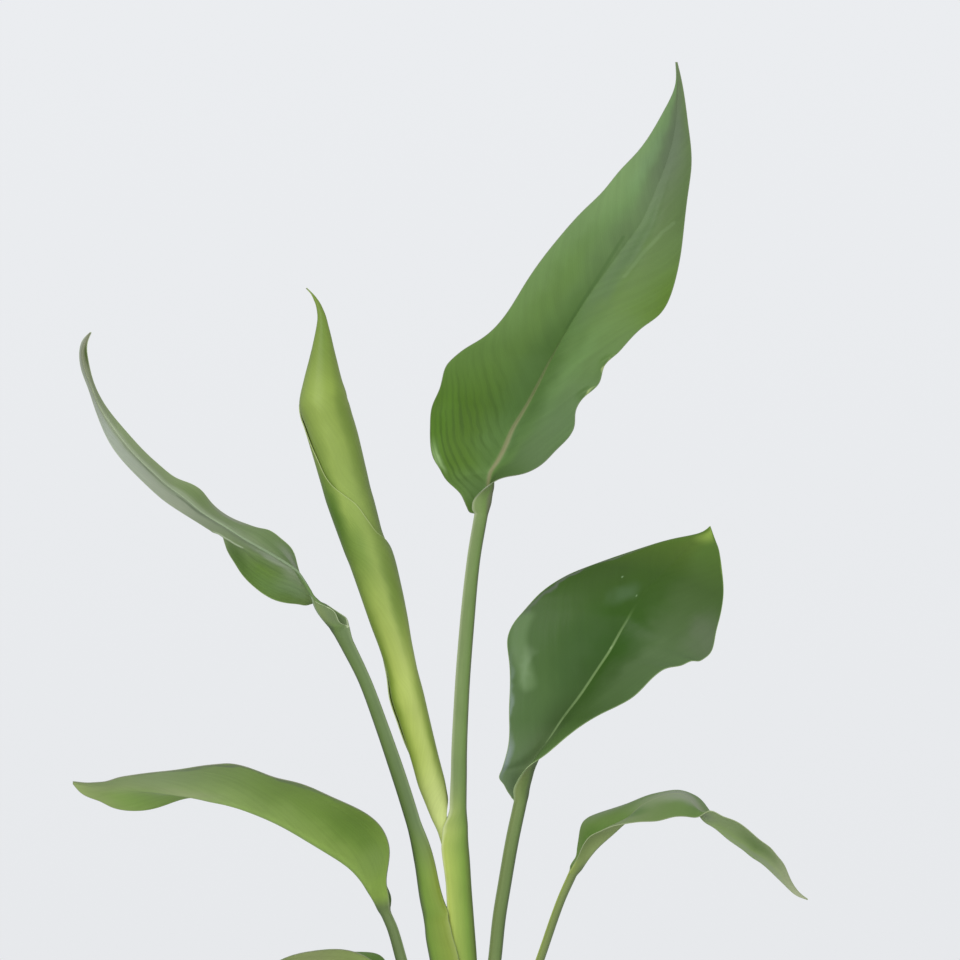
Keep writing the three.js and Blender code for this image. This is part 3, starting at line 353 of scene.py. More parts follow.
# How each blade bends: arch of each half as a share of its width, height of the waves in its
# margins and where they stand, height of its midrib, how many rows of points it has, how much its
# side veins slant, and half the width of the midrib's line at its base, at its end and where that
# is. Places along and across a blade are shares of it: 0 to 1 from base to tip, and -1 to 1 from
# left to right. A crease is a thin line of colour: its places along and across, half its width,
# its colour and its strength. A bump is a soft swelling of the upper face: its place along and
# across, its size along and across, and its height. A pleat folds one half behind itself: the
# place along, where its fold is across, and how high it steps.
BLADES = {
    "a": {
        "rows": BLADE_A,
        "arch": 0.05,
        "wave": 0.5,
        "phase": 0.4,
        "rib": 3.2,
        "count": 280,
        "slant": 1.2,
        "rib_line": (2.5, 0.5, 0.44),
        "creases": [
            ([(0.57, 0.28), (0.63, 0.36), (0.68, 0.55), (0.7, 0.75)], 1.0, "86a06f", 0.2),
            # Painted shade: a dark line in the fold left of the midrib
            ([(0.44, -0.03), (0.55, -0.05), (0.65, -0.12)], 0.9, "4c6b36", 0.45),
        ],
        "bumps": [
            (0.22, -0.85, 0.025, 0.1, 0.8),
            (0.3, 0.93, 0.012, 0.07, 1.2),
            (0.36, 0.95, 0.012, 0.06, 1.2),
            (0.62, 0.25, 0.16, 0.12, -1.0),
        ],
    },
    "b": {
        "rows": BLADE_B,
        "arch": 0.04,
        "wave": 0.3,
        "phase": 1.3,
        "rib": 0.5,
        "count": 280,
        "slant": 3.2,
        "rib_line": (0.45, 0.4, 0.8),
        "creases": [
            # Painted light: a pale highlight along the pleat's fold, then a dark line of shade where
            # the fold runs out
            ([(0.39, 0.92), (0.378, 0.79), (0.35, 0.55), (0.317, 0.4)], 0.9, "c3d3aa", 1.0),
            ([(0.317, 0.42), (0.25, 0.36), (0.2, 0.33)], 0.8, "5b7840", 0.35),
            ([(0.42, 0.1), (0.47, 0.18), (0.53, 0.25)], 0.8, "5e7748", 0.6),
        ],
        "bumps": [(0.06, 0.6, 0.04, 0.3, 0.6)],
        "pleat": [
            (0.22, 0.38, 0),
            (0.25, 0.40, 0.6),
            (0.317, 0.46, 2.0),
            (0.35, 0.62, 3.2),
            (0.378, 0.86, 3.6),
            (0.39, 1.0, 3.6),
            (0.41, 1.0, 0),
        ],
    },
    "d": {
        "rows": BLADE_D,
        "arch": 0.05,
        "wave": 0.5,
        "phase": 2.1,
        "rib": 2.2,
        "count": 220,
        "slant": 1.6,
        "rib_line": (1.5, 0.8, 0.56),
        "creases": [
            # A painted highlight: a soft pale streak of gloss along the left half
            ([(0.36, -0.77), (0.41, -0.84), (0.48, -0.9), (0.54, -0.94)], 4.5, "728f5d", 0.45),
        ],
        "bumps": [],
    },
    "e": {
        "rows": BLADE_E,
        "arch": 0.05,
        "wave": 0.3,
        "phase": 3.2,
        "rib": 1.6,
        "count": 220,
        "slant": 3.0,
        "rib_line": (0.5, 0.5, 0.5),
        "creases": [],
        "bumps": [],
    },
    "f": {
        "rows": BLADE_F,
        "arch": 0.05,
        "wave": 0.3,
        "phase": 4.4,
        "rib": 1.3,
        "count": 200,
        "slant": 3.0,
        "rib_line": (0.6, 0.5, 0.7),
        "creases": [],
        "bumps": [],
    },
    "g": {
        "rows": BLADE_G,
        "arch": 0.05,
        "wave": 0.9,
        "phase": 5.1,
        "rib": 1.6,
        "count": 180,
        "slant": 2.4,
        "rib_line": (0.6, 0.5, 0.7),
        "creases": [],
        "bumps": [],
    },
}
BLADE_HALF_COLUMNS = 36
BLADE_WAVES = 5
BLADE_THICKNESS = 0.7
MARGIN_THICKNESS = 0.4
# Width over which a blade thins toward its margin
MARGIN_WIDTH = 3
# Share of its length in which a blade grows out of its stalk
BLADE_FOOT_SHARE = 0.014
# At its base a blade is a trough: the share of its length, and the depth as a share of the half's
# width
TROUGH_SHARE = 0.09
TROUGH_DEPTH = 0.22
# Where along a blade the waves of its margins begin, and the share of its length that they take
WAVE_START = 0.08
WAVE_SPAN = 0.86
# How fast a midrib gets lower toward the tip, its half width at the tip, how much wider it is at
# the base, and how much of it stands on the upper face near the base and up to where
RIB_TAPER = 1.8
RIB_TIP_HALF = 0.9
RIB_BASE_EXTRA = 1.1
RIB_UPPER_SHARE = 0.65
RIB_UPPER_END = 0.3
# How much the side veins curl toward the tip near the margin
VEIN_CURL = 0.35
# The pleat rises from a little before its fold to a little beyond it, as shares of the half. The
# fold gets the margin's pale line, a painted highlight, where the pleat is as deep as the second
# depth. Below the first it has none, because the fold counts as being this much further away.
PLEAT_BEFORE = 0.02
PLEAT_BEYOND = 0.1
PLEAT_DEPTHS = (0.5, 2.2)
PLEAT_REACH = 9.0

# Rings, the way that the groove faces, 1 toward +x and -1 toward -x, and the heights between which
# the open sheath turns into the stalk
STALKS = {
    "a": {"rings": STALK_A, "opening": -1, "slot": "pale_stalk", "sheath": (295, 345)},
    "b": {"rings": STALK_B, "opening": 1, "slot": "pale_stalk", "sheath": (285, 322)},
    "d": {"rings": STALK_D, "opening": -1, "slot": "dark_stalk", "sheath": (200, 230)},
    "e": {"rings": STALK_E, "opening": 1, "slot": "dark_stalk", "sheath": (185, 205)},
    "f": {"rings": STALK_F, "opening": -1, "slot": "dark_stalk", "sheath": (160, 180)},
    "g": {"rings": STALK_G, "opening": 1, "slot": "dark_stalk", "sheath": (160, 180)},
}
BLADE_SLOTS = {
    "a": "dark_blade",
    "b": "blue_blade",
    "d": "dark_blade",
    "e": "low_blade",
    "f": "low_blade",
    "g": "low_blade",
}
STALK_HALF_COLUMNS = 22
STALK_ROWS = 190
# A ring lies level up to this height, where the sheaths lie in each other, and leans with its
# stalk once it is this much higher. Its lean is the mean over some rows on each side.
LEAN_START = 205
LEAN_RISE = 30
LEAN_ROWS = 9

# Pot and potting mix. The profile is radius and height, from the foot up the outside and down the
# inside.
POT_PROFILE = [
    (56, 0),
    (58, 2),
    (81.5, 124),
    (85.2, 126.5),
    (86, 148),
    (84.5, 150),
    (80, 150),
    (78.5, 148),
    (76.7, 125),
    (54.2, 8),
]
POT_SIDES = 160
POT_EDGE = 0.6
POT_FLOOR = 8
DRAIN_HOLES = 3
DRAIN_RADIUS = 5
DRAIN_DISTANCE = 30
# Height of the mix at the pot, and how much higher it is in the middle
SOIL_HEIGHT = 129.4
SOIL_MOUND = 2.4
SOIL_RADIUS = 76.3
SOIL_SHOULDER = 124
SOIL_FOOT = 8.3
SOIL_FOOT_RADIUS = 53.9
SOIL_TOP_RINGS = 76
SOIL_COLUMNS = 221
# Width and height of the mix's lumps and of its crumbs
SOIL_LUMPS = (14, 1.5)
SOIL_CRUMBS = (3.2, 0.7)
# The hole that the plant stands in: its middle's x, half its width and depth, its bottom, and the
# heights of two rings in its wall
CROWN_HOLE = (-1.8, 18, 10.4, 107.8)
CROWN_HOLE_RINGS = (120, 128)
# Chips lie within this radius, and clear of an oval of these half sizes round the stalks
SCATTER_RADIUS = 75
CROWN_CLEARANCE = (20, 12)
# Sizes of the chips and grains, and as shares of a chip's size: its breadth, its height, how far
# its middle is above the mix, its bevel, and how far its corners are pushed in or out. Its tilt is
# in radians.
CHIP_SIZES = (3.5, 9.5)
GRAIN_SIZES = (1.8, 3.4)
CHIP_BREADTH = (0.45, 0.8)
CHIP_HEIGHT = (0.2, 0.45)
CHIP_LIFT = 0.12
CHIP_WEAR = 0.16
CHIP_PUSH = (0.78, 1.1)
CHIP_TILT = 0.3

# Where the camera stands to the right of the pot's middle and above the floor, its lens and its
# sensor
CAMERA_SHIFT = 7.5
CAMERA_HEIGHT = 490
CAMERA_LENS = 150
CAMERA_SENSOR = 36
# Each light's name, place and size in metres, and its share of the key light's power
LIGHTS = (
    ("key", (-1.0, -2.3, 1.5), 2.0, 1.0),
    ("fill", (1.3, -2.2, 0.5), 2.2, 0.35),
)
LIGHT_AIM = (0, 0, 0.45)
# The light all round and the wall that is seen: its colour, how far up and down its strength
# changes, from 0 at the horizon to 1 overhead, and its strength below and above that
WORLD_LIGHT = ("f2f4f8", 1, 0.25, 0.75)
WORLD_WALL = ("e9ebee", 0.15, 0.975, 1.025)

# Sizes of the materials' patterns
LEAF_WOBBLE = 14
LEAF_CLOUDS = 30
MARGIN_SPECKS = 6
STRIPE_SPACING = 6.6
BAND_HEIGHT = 0.35
# How far the bands' pattern runs across each half of a blade, however wide the half is
BAND_SPREAD = 9
ROLL_WOBBLE = 16
SKIN_CLOUDS = 20
# The real fibres are finer, but would not show
FIBRE_WIDTH = 1.2
POT_CLOUDS = 60
POT_SPECKS = 1.4
# The lines that turning leaves are finer, but would not show
TURNING_LINES = 2.6
# The fibres' pattern counts each millimetre along the skin as this much, so it is drawn out
FIBRE_STRETCH = 0.06
# How far the side veins and the broad stripes sway, in radians of their wave
VEIN_SWAY = 5
STRIPE_SWAY = 4.5
# Soft edges, from where a colour is bare to where it is full: of a touch, as a share of its size,
# and of a midrib and a crease, as a share of half their width
SPOT_EDGE = (1.4, 0.1)
RIB_EDGE = (1.4, 0.5)
CREASE_EDGE = (1.5, 0.4)
# Places of a stalk's four colours from its back, at 0, round to its wings' edges, at 1
ROUND_STOPS = (0.12, 0.35, 0.86, 0.99)
WAX_IOR = 1.45
UNDERSIDE_ROUGHNESS = 0.55
POT_SHADE = "dedbd3"
POT_SPECK_COLOUR = "9c9484"
FLOOR_COLOUR = "ebecee"
# Crumbly finishes: dark and light colour, size of a grain, how far it stands out, and how many
# finer layers it has
CRUMBLY_LOOKS = {
    "moist_potting_mix": ("2a1f18", "54412f", 2.2, 1.0, 4),
    "dry_pine_bark": ("4a3222", "8a6444", 1.8, 0.4, 3),
    "expanded_perlite": ("cfcabc", "f0ede4", 0.8, 0.2, 2),
}

# Colours as they are shown. Each face of a blade has three runs of colour from its base to its tip:
# left half, beside the midrib, and right half. A touch is a soft spot of colour: its place along and
# across, its size along and across, its colour and its strength. Some touches are painted light and
# shade, as marked beside them. Stripes have the same but for the colour, which is given apart; they
# are painted shade in the pleats along the side veins. bands is how strongly the side veins show.
# The underside has the stalk's colour up to the second share of its foot, and none of it past the
# first. rib is the midrib's colour near its base and at its end, margin is the margin's colour,
# width and strength, and roughness is the upper face's.
BLADE_LOOKS = {
    "a": {
        "upper": {
            "runs": [
                ["648635", "517420", "6f8f4f", "72935a", "6e8d59"],
                ["71934e", "557739", "5e7e41", "6d8659", "6b7c52"],
                ["4e6735", "5c7a46", "678640", "5f7845", "677c4f"],
            ],
            "touches": [
                (0.14, -0.93, 0.035, 0.09, "9ab97a", 0.95),
                (0.2, -0.85, 0.07, 0.15, "5f8a2c", 0.4),
                (0.05, -0.5, 0.06, 0.6, "6c8c50", 0.8),
                (0.547, 0.97, 0.09, 0.3, "5d7d28", 0.85),
                (0.35, 0.45, 0.12, 0.2, "6f9352", 0.5),
                (0.61, 0.15, 0.12, 0.16, "5f7a4c", 0.75),
                (0.87, 0.1, 0.12, 0.8, "617257", 0.8),
                (0.8, -0.6, 0.07, 0.25, "7c9a6c", 0.5),
                (0.72, -0.85, 0.12, 0.3, "7d9a61", 0.5),
                (0.52, -0.55, 0.12, 0.25, "5c7d34", 0.5),
                (0.2, 0.12, 0.1, 0.12, "4f6e38", 0.6),
                (0.35, 1.0, 0.014, 0.03, "c3cf8e", 0.8),
                (0.3, 1.0, 0.014, 0.03, "b4c684", 0.8),
                (0.385, 1.0, 0.012, 0.03, "c3cf8e", 0.8),
            ],
            # Painted shade: dark stripes in the pleats that the side veins make near the base of the
            # left half
            "stripes": (0.17, -0.6, 0.16, 0.5, 0.65),
            "pleat_shade_colour": "3f5c20",
            "bands": 0.22,
        },
        "under": {
            "runs": [["7d8f62", "7f9463", "7f9463", "7f9463", "7f9463"]] * 3,
            "touches": [],
            "bands": 0.4,
        },
        "foot": (0.1, 0.06),
        "rib": ("8f8d66", "58743f"),
        "rib_strength": 0.85,
        "margin": ("8a9176", 0.3, 0.5),
        "roughness": 0.42,
    },
    "b": {
        "upper": {
            "runs": [["6b8052", "7a9b58", "7a9b58", "849f52", "90a74e"]] * 3,
            "touches": [],
            "bands": 0.3,
        },
        "under": {
            "runs": [
                ["798a5f", "718b56", "899d69", "9eb17f", "85886d"],
                ["7c8d58", "839968", "a7b88e", "b9c8a0", "85886d"],
                ["809853", "749641", "c0cbab", "c9d4bf", "989e85"],
            ],
            "touches": [
                # Painted shade: the lobe behind the pleat, which faces down
                (0.3, 0.85, 0.07, 0.35, "56762f", 0.85),
                (0.2, 0.75, 0.06, 0.3, "6f9050", 0.6),
                (0.16, 0.5, 0.05, 0.3, "8fa87c", 0.6),
                (0.21, 0.12, 0.06, 0.1, "a9b995", 0.8),
                (0.23, -0.75, 0.06, 0.2, "98a08e", 0.7),
                (0.42, -0.95, 0.06, 0.15, "a3a399", 0.6),
                (0.945, -0.75, 0.035, 0.5, "52642c", 0.95),
                (0.94, 0.85, 0.05, 0.3, "b4bcab", 0.7),
                (0.51, -0.6, 0.06, 0.3, "76924c", 0.5),
                (0.25, 0.12, 0.07, 0.1, "a9b798", 0.7),
                (0.17, 0.2, 0.04, 0.2, "9fb189", 0.6),
                (0.63, 0.12, 0.12, 0.1, "74875c", 0.5),
                (0.47, 0.25, 0.06, 0.15, "6a7c58", 0.5),
            ],
            "bands": 0.4,
        },
        "foot": (0.05, 0.01),
        "rib": ("8c9f80", "b9c6a4"),
        "rib_strength": 0.7,
        "margin": ("c3cfa9", 0.35, 0.7),
        "roughness": 0.5,
    },
    "d": {
        "upper": {
            "runs": [
                ["728861", "4f6c39", "44642a", "3e5922", "5d7b29"],
                ["89a071", "45602f", "355a17", "405e21", "617a2f"],
                ["769757", "496631", "587145", "48632d", "5b7b2c"],
            ],
            "touches": [
                # Painted highlight: a pale spot of gloss on the left half
                (0.4, -0.8, 0.06, 0.08, "7d966d", 0.7),
                # Painted shade beside a soft fold
                (0.45, -0.3, 0.14, 0.2, "43622f", 0.5),
                # Painted reflection: grey-blue gloss along the left margin
                (0.14, -0.97, 0.07, 0.12, "87968e", 0.85),
                (0.3, -0.99, 0.12, 0.05, "7c9080", 0.7),
                (0.62, 0.9, 0.08, 0.25, "6a755e", 0.5),
                (0.65, -0.2, 0.05, 0.15, "5c7852", 0.5),
                # Painted glints: tiny pale spots near the midrib
                (0.71, -0.38, 0.005, 0.012, "8fae7e", 0.7),
                (0.65, -0.07, 0.005, 0.012, "8fae7e", 0.7),
                (0.49, 0.0, 0.006, 0.014, "b3c79a", 0.9),
                (0.965, 0.15, 0.05, 0.5, "8ba748", 0.85),
                (0.86, 1.0, 0.12, 0.04, "7f9c48", 0.6),
                (0.72, -0.97, 0.2, 0.05, "6d6f6c", 0.6),
                (0.42, 0.3, 0.12, 0.2, "3f5c28", 0.5),
            ],
            "bands": 0.12,
        },
        "under": {
            "runs": [["7d9170", "7d9170", "7d9170", "7d9170", "7d9160"]] * 3,
            "touches": [],
            "bands": 0.3,
        },
        "foot": (0.14, 0.08),
        "rib": ("8fa874", "7d9a5c"),
        "rib_strength": 0.8,
        "margin": ("93a873", 0.3, 0.7),
        "roughness": 0.33,
    },
    "e": {
        "upper": {
            "runs": [["5a7636", "52702f", "52702f", "57742f", "6b8a3a"]] * 3,
            "touches": [],
            "bands": 0.2,
        },
        "under": {
            "runs": [
                ["91ae51", "7c9c3f", "809d4d", "98ad74", "9cae72"],
                ["8ba74e", "8aa650", "90ab5d", "9aaf73", "9cae6f"],
                ["8ba74e", "7b9b42", "86a352", "86a450", "9cae6f"],
            ],
            "touches": [
                (0.23, -0.6, 0.1, 0.35, "5f8034", 0.5),
                (0.68, -0.1, 0.1, 0.15, "a2b07c", 0.7),
                (0.82, 0.5, 0.09, 0.6, "8aaa55", 0.95),
                (0.14, -0.5, 0.05, 0.5, "86a252", 0.7),
                (0.55, -0.97, 0.3, 0.06, "6f7768", 0.6),
            ],
            "bands": 0.2,
        },
        "foot": (0.05, 0.01),
        "rib": ("82995c", "8f9f70"),
        "rib_strength": 0.4,
        "margin": ("84896f", 0.35, 0.5),
        "roughness": 0.45,
    },
    "f": {
        "upper": {
            "runs": [
                ["718c4b", "68853e", "6a8942", "758e53", "798c3f"],
                ["648140", "6c8a43", "98a481", "859662", "798c3f"],
                ["789252", "7d915c", "668343", "869d59", "798c3f"],
            ],
            "touches": [
                (0.27, -0.95, 0.12, 0.3, "7f8f6c", 0.7),
                (0.12, -0.4, 0.06, 0.5, "557a2c", 0.7),
                (0.3, 0.4, 0.05, 0.25, "557a30", 0.7),
                (0.46, 0.0, 0.07, 0.45, "8c9780", 0.7),
            ],
            "bands": 0.06,
        },
        "under": {
            "runs": [
                ["889a5c", "889a5c", "809a4f", "7d9a4a", "b1b794"],
                ["889a5c", "92a46a", "98af70", "8ba75d", "b3b996"],
                ["889a5c", "889a5c", "98ac76", "839962", "b3b996"],
            ],
            "touches": [
                (0.55, 0.35, 0.05, 0.4, "8f9c7c", 0.7),
                (0.78, 0.1, 0.2, 0.18, "929c86", 0.6),
                (0.76, 0.62, 0.09, 0.3, "62803a", 0.5),
                (0.1, 0.9, 0.08, 0.4, "6c8048", 0.5),
            ],
            "bands": 0.05,
        },
        "foot": (0.05, 0.01),
        "rib": ("8a9868", "a0ad84"),
        "rib_strength": 0.7,
        "margin": ("98a578", 0.3, 0.4),
        "roughness": 0.45,
    },
    "g": {
        "upper": {
            "runs": [["628334", "5d7f34", "5d7f34", "638334", "799c40"]] * 3,
            "touches": [],
            "bands": 0.2,
        },
        "under": {
            "runs": [
                ["9ab858", "a6b475", "91a760", "799747", "7f9350"],
                ["9ab858", "a6b475", "91a760", "799747", "7f9350"],
                ["9ab858", "97b655", "7e9f47", "799747", "7f9350"],
            ],
            "touches": [],
            "bands": 0.3,
        },
        "foot": (0.05, 0.01),
        "rib": ("7f9a5f", "8fa35f"),
        "rib_strength": 0.5,
        "margin": ("84896f", 0.35, 0.5),
        "roughness": 0.45,
    },
}

# Colours of each stalk from its back round to its wings' edges: low, where it is an open sheath, and
# high. The pale colours toward the wings, palest on the sheaths, are partly the wings' own paler
# tissue and partly painted highlight.
STALK_LOOKS = {
    "a": {
        "low": ["66793f", "7d9d3e", "bccc66", "dfe8a0"],
        "high": ["6a7254", "769250", "7b9058", "a0ad84"],
    },
    "b": {
        "low": ["5f7348", "7a9a3f", "869a3c", "98a855"],
        "high": ["5c6e4a", "6b8349", "6a8050", "7f9266"],
    },
    "d": {
        "low": ["6f7f4c", "708650", "76864f", "8a9a60"],
        "high": ["5a6948", "6f864c", "76874f", "8fa074"],
    },
    "e": {
        "low": ["687850", "6b7e4e", "6b7e4e", "8a9a68"],
        "high": ["657850", "6b7e4e", "708450", "8fa074"],
    },
    "f": {
        "low": ["6a7752", "6c7a54", "72815a", "96a270"],
        "high": ["6f7e58", "74854f", "84954f", "a9b95f"],
    },
    "g": {
        "low": ["687850", "6f8256", "6f8256", "8a9a68"],
        "high": ["657850", "6f8256", "6f8256", "8fa074"],
    },
}

# The rolled leaf's colours from its left side to its right, low, halfway and high, and its touches:
# place along and from side to side, their sizes, colour and strength. The runs from side to side are
# painted light and shade: lit in the middle, where the roll faces the front, and darker toward its
# sides, where it turns away.
ROLLED_LOOK = {
    "low": ["8aa33c", "afc05e", "b4c468", "93a84f"],
    "half": ["74903e", "97ae54", "8fa650", "768c46"],
    "high": ["8ba24c", "9ab055", "92a94b", "8da24a"],
    "edge": "c9d49a",
    # The darker touches on the right side are painted shade, and the pale touch at the foot is a
    # painted highlight
    "touches": [
        (0.6, -0.85, 0.08, 0.4, "587a2c", 0.85),
        (0.54, -0.35, 0.06, 0.5, "6a8a35", 0.6),
        (0.45, 0.6, 0.1, 0.35, "67842f", 0.6),
        (0.33, -0.9, 0.1, 0.3, "7b9632", 0.7),
        (0.93, 0.1, 0.1, 1.2, "6f8a38", 0.85),
        (0.75, 0.75, 0.12, 0.3, "6f8a38", 0.6),
        (0.2, 0.85, 0.12, 0.25, "7f9640", 0.6),
        (0.06, 0, 0.1, 2.0, "d2df8c", 0.85),
    ],
}


class LeafSettings(bpy.types.PropertyGroup):
    wave: FloatProperty(
        name="Wave", description="How strongly the blades' margins wave", default=1.0, min=0, max=2
    )
    rib: FloatProperty(
        name="Rib", description="Height of the midribs under the blades", default=1.0, min=0, max=2
    )
    vein_spacing: FloatProperty(
        name="Vein spacing",
        description="Distance between the fine side veins",
        default=1.7 * MM,
        min=0.5 * MM,
        max=6 * MM,
        subtype="DISTANCE",
        unit="LENGTH",
    )
    band_width: FloatProperty(
        name="Band width",
        description="Width of the darker and lighter bands along the side veins",
        default=6 * MM,
        min=1 * MM,
        max=30 * MM,
        subtype="DISTANCE",
        unit="LENGTH",
    )


class PotSettings(bpy.types.PropertyGroup):
    colour: FloatVectorProperty(
        name="Colour",
        description="Colour of the pot's matt glaze, as it is shown",
        default=(0.914, 0.906, 0.886),
        min=0,
        max=1,
        subtype="COLOR_GAMMA",
    )
    chips: IntProperty(
        name="Bark chips", description="How many bark chips lie on the mix", default=420, min=0
    )
    grains: IntProperty(
        name="Perlite grains", description="How many pale grains lie in the mix", default=110, min=0
    )


class StageSettings(bpy.types.PropertyGroup):
    camera_distance: FloatProperty(
        name="Camera distance",
        description="Distance from the fan of leaves to the camera",
        default=2.0,
        min=0.5,
        subtype="DISTANCE",
        unit="LENGTH",
    )
    floor_radius: FloatProperty(
        name="Floor radius",
        description="Radius at which the pale floor has faded out",
        default=1.1,
        min=0.3,
        subtype="DISTANCE",
        unit="LENGTH",
    )
    key_power: FloatProperty(
        name="Key light", description="Power of the soft light in watts", default=38, min=0
    )


def linear(code):
    """Linear red, green, blue and alpha of an sRGB hex colour."""
    parts = [int(code[place : place + 2], 16) / 255 for place in (0, 2, 4)]
    return (*[linear_part(part) for part in parts], 1.0)


def linear_part(value):
    """One part of an sRGB colour, made linear."""
    return value / 12.92 if value <= 0.04045 else ((value + 0.055) / 1.055) ** 2.4


def smooth_step(value, low, high):
    """0 up to low and 1 from high on, with a soft rise between."""
    share = np.clip((value - low) / (high - low), 0, 1)
    return share * share * (3 - 2 * share)


def even_spline(points, count):
    """Natural cubic curve through an array of points, resampled evenly. The last axis is x, y, z,
    and all the rails of a row share one parameter, the mean distance along them."""
    points = np.asarray(points, float)
    steps = np.linalg.norm(np.diff(points, axis=0), axis=-1)
    while steps.ndim > 1:
        steps = steps.mean(axis=-1)
    knots = np.concatenate([[0], np.cumsum(steps)])
    flat = points.reshape(len(points), -1)
    bends = spline_bends(knots, flat)
    places = np.linspace(0, knots[-1], count)
    index = np.clip(np.searchsorted(knots, places, side="right") - 1, 0, len(knots) - 2)
    gap = np.diff(knots)[index][:, None]
    after = (places[:, None] - knots[index][:, None]) / gap
    before = 1 - after
    curve = before * flat[index] + after * flat[index + 1]
    curve += (before**3 - before) * bends[index] * gap**2 / 6
    curve += (after**3 - after) * bends[index + 1] * gap**2 / 6
    return curve.reshape((count,) + points.shape[1:]), knots[-1]


def spline_bends(knots, values):
    """Second derivatives of a natural cubic curve at its knots."""
    size = len(knots)
    gaps = np.diff(knots)
    system = np.eye(size)
    wanted = np.zeros_like(values)
    for place in range(1, size - 1):
        before, after = gaps[place - 1], gaps[place]
        system[place, place - 1 : place + 2] = before, 2 * (before + after), after
        rise = (values[place + 1] - values[place]) / after
        wanted[place] = 6 * (rise - (values[place] - values[place - 1]) / before)
    return np.linalg.solve(system, wanted)


def gentle_rows(rings, heights):
    """A table's rings at other heights, which are its second column, with no overshoot between."""
    rows = np.asarray(rings, float)
    knots = rows[:, 1]
    gaps = np.diff(knots)[:, None]
    slopes = np.diff(rows, axis=0) / gaps
    tangents = np.zeros_like(rows)
    same_way = slopes[:-1] * slopes[1:] > 0
    total = slopes[:-1] + slopes[1:]
    total[~same_way] = 1
    tangents[1:-1] = np.where(same_way, 2 * slopes[:-1] * slopes[1:] / total, 0)
    tangents[0], tangents[-1] = slopes[0], slopes[-1]
    index = np.clip(np.searchsorted(knots, heights, side="right") - 1, 0, len(knots) - 2)
    gap = gaps[index]
    share = (heights[:, None] - knots[index][:, None]) / gap
    rise = smooth_step(share, 0, 1)
    curve = rows[index] * (1 - rise) + rows[index + 1] * rise
    curve += gap * tangents[index] * share * (1 - share) ** 2
    curve -= gap * tangents[index + 1] * share * share * (1 - share)
    return curve


def grid_normals(grid):
    """Unit normals of a grid of points, on its upper side."""
    along = np.gradient(grid, axis=0)
    across = np.gradient(grid, axis=1)
    normals = np.cross(across, along)
    return normals / np.maximum(np.linalg.norm(normals, axis=-1, keepdims=True), TINY)


def deselect_all():
    """Leaves nothing selected, because an operator acts on all that is."""
    for thing in bpy.context.selected_objects:
        thing.select_set(False)


def set_points(piece, points):
    """Moves a piece's points to places in millimetres."""
    piece.data.vertices.foreach_set("co", (points * MM).astype(np.float32).ravel())


def add_grid(name, rows, columns):
    """A flat grid primitive with one point for each row and column."""
    deselect_all()
    bpy.ops.mesh.primitive_grid_add(x_subdivisions=columns - 1, y_subdivisions=rows - 1, size=1)
    piece = bpy.context.object
    piece.name = piece.data.name = name
    if len(piece.data.vertices) != rows * columns:
        raise RuntimeError(f"{name}: the grid has {len(piece.data.vertices)} points")
    return piece


def leaf_sheet(name, outer, inner, materials, marks):
    """A closed sheet of leaf, from a grid primitive whose points are set on the outer face and,
    once Solidify has given it a wall, on the inner face. marks are numbers at each grid point."""
    rows, columns = outer.shape[:2]
    piece = add_grid(name, rows, columns)
    set_points(piece, outer)
    for material in materials:
        piece.data.materials.append(material)
    apply_modifier(
        piece,
        "SOLIDIFY",
        thickness=BLADE_THICKNESS * MM,
        offset=-1,
        material_offset=min(1, len(materials) - 1),
        material_offset_rim=len(materials) - 1,
    )
    set_points(piece, np.concatenate([outer.reshape(-1, 3), inner.reshape(-1, 3)]))
    for mark, values in marks.items():
        attribute = piece.data.attributes.new(mark, "FLOAT", "POINT")
        attribute.data.foreach_set("value", np.tile(values.astype(np.float32).ravel(), 2))
    face_outward(piece)
    bpy.ops.object.shade_smooth_by_angle(angle=math.radians(60))
    return piece


def apply_modifier(piece, kind, **settings):
    """Adds a modifier to the active piece, sets it and applies it."""
    modifier = piece.modifiers.new(kind.title(), kind)
    for name, value in settings.items():
        setattr(modifier, name, value)
    bpy.ops.object.modifier_apply(modifier=modifier.name)


def face_outward(piece):
    """Turns all the faces of the active piece outward."""
    bpy.ops.object.mode_set(mode="EDIT")
    bpy.ops.mesh.select_all(action="SELECT")
    bpy.ops.mesh.normals_make_consistent(inside=False)
    bpy.ops.mesh.select_all(action="DESELECT")
    bpy.ops.object.mode_set(mode="OBJECT")


def finish_piece(piece, slot, *nodes):
    """Ties a piece to the frame and hides the nodes that it replaces. Its slot is not used."""
    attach(piece, "root")
    if nodes:
        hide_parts(*nodes)


def ring_lean(back, height):
    """How far each ring leans: along the stalk's back, and level low down, where the sheaths lie
    in each other."""
    lean = np.arctan2(np.gradient(back), np.gradient(height))
    padded = np.pad(lean, LEAN_ROWS, mode="edge")
    span = 2 * LEAN_ROWS + 1
    lean = np.convolve(padded, np.full(span, 1 / span), "valid")
    return lean * np.clip((height - LEAN_START) / LEAN_RISE, 0, 1)


def place_rings(across, depth, centre, height, lean):
    """Points of rings, each leaned over at its own place."""
    x = centre[:, None] + across * np.cos(lean)[:, None]
    z = height[:, None] - across * np.sin(lean)[:, None]
    return np.stack([x, depth, z], axis=-1)


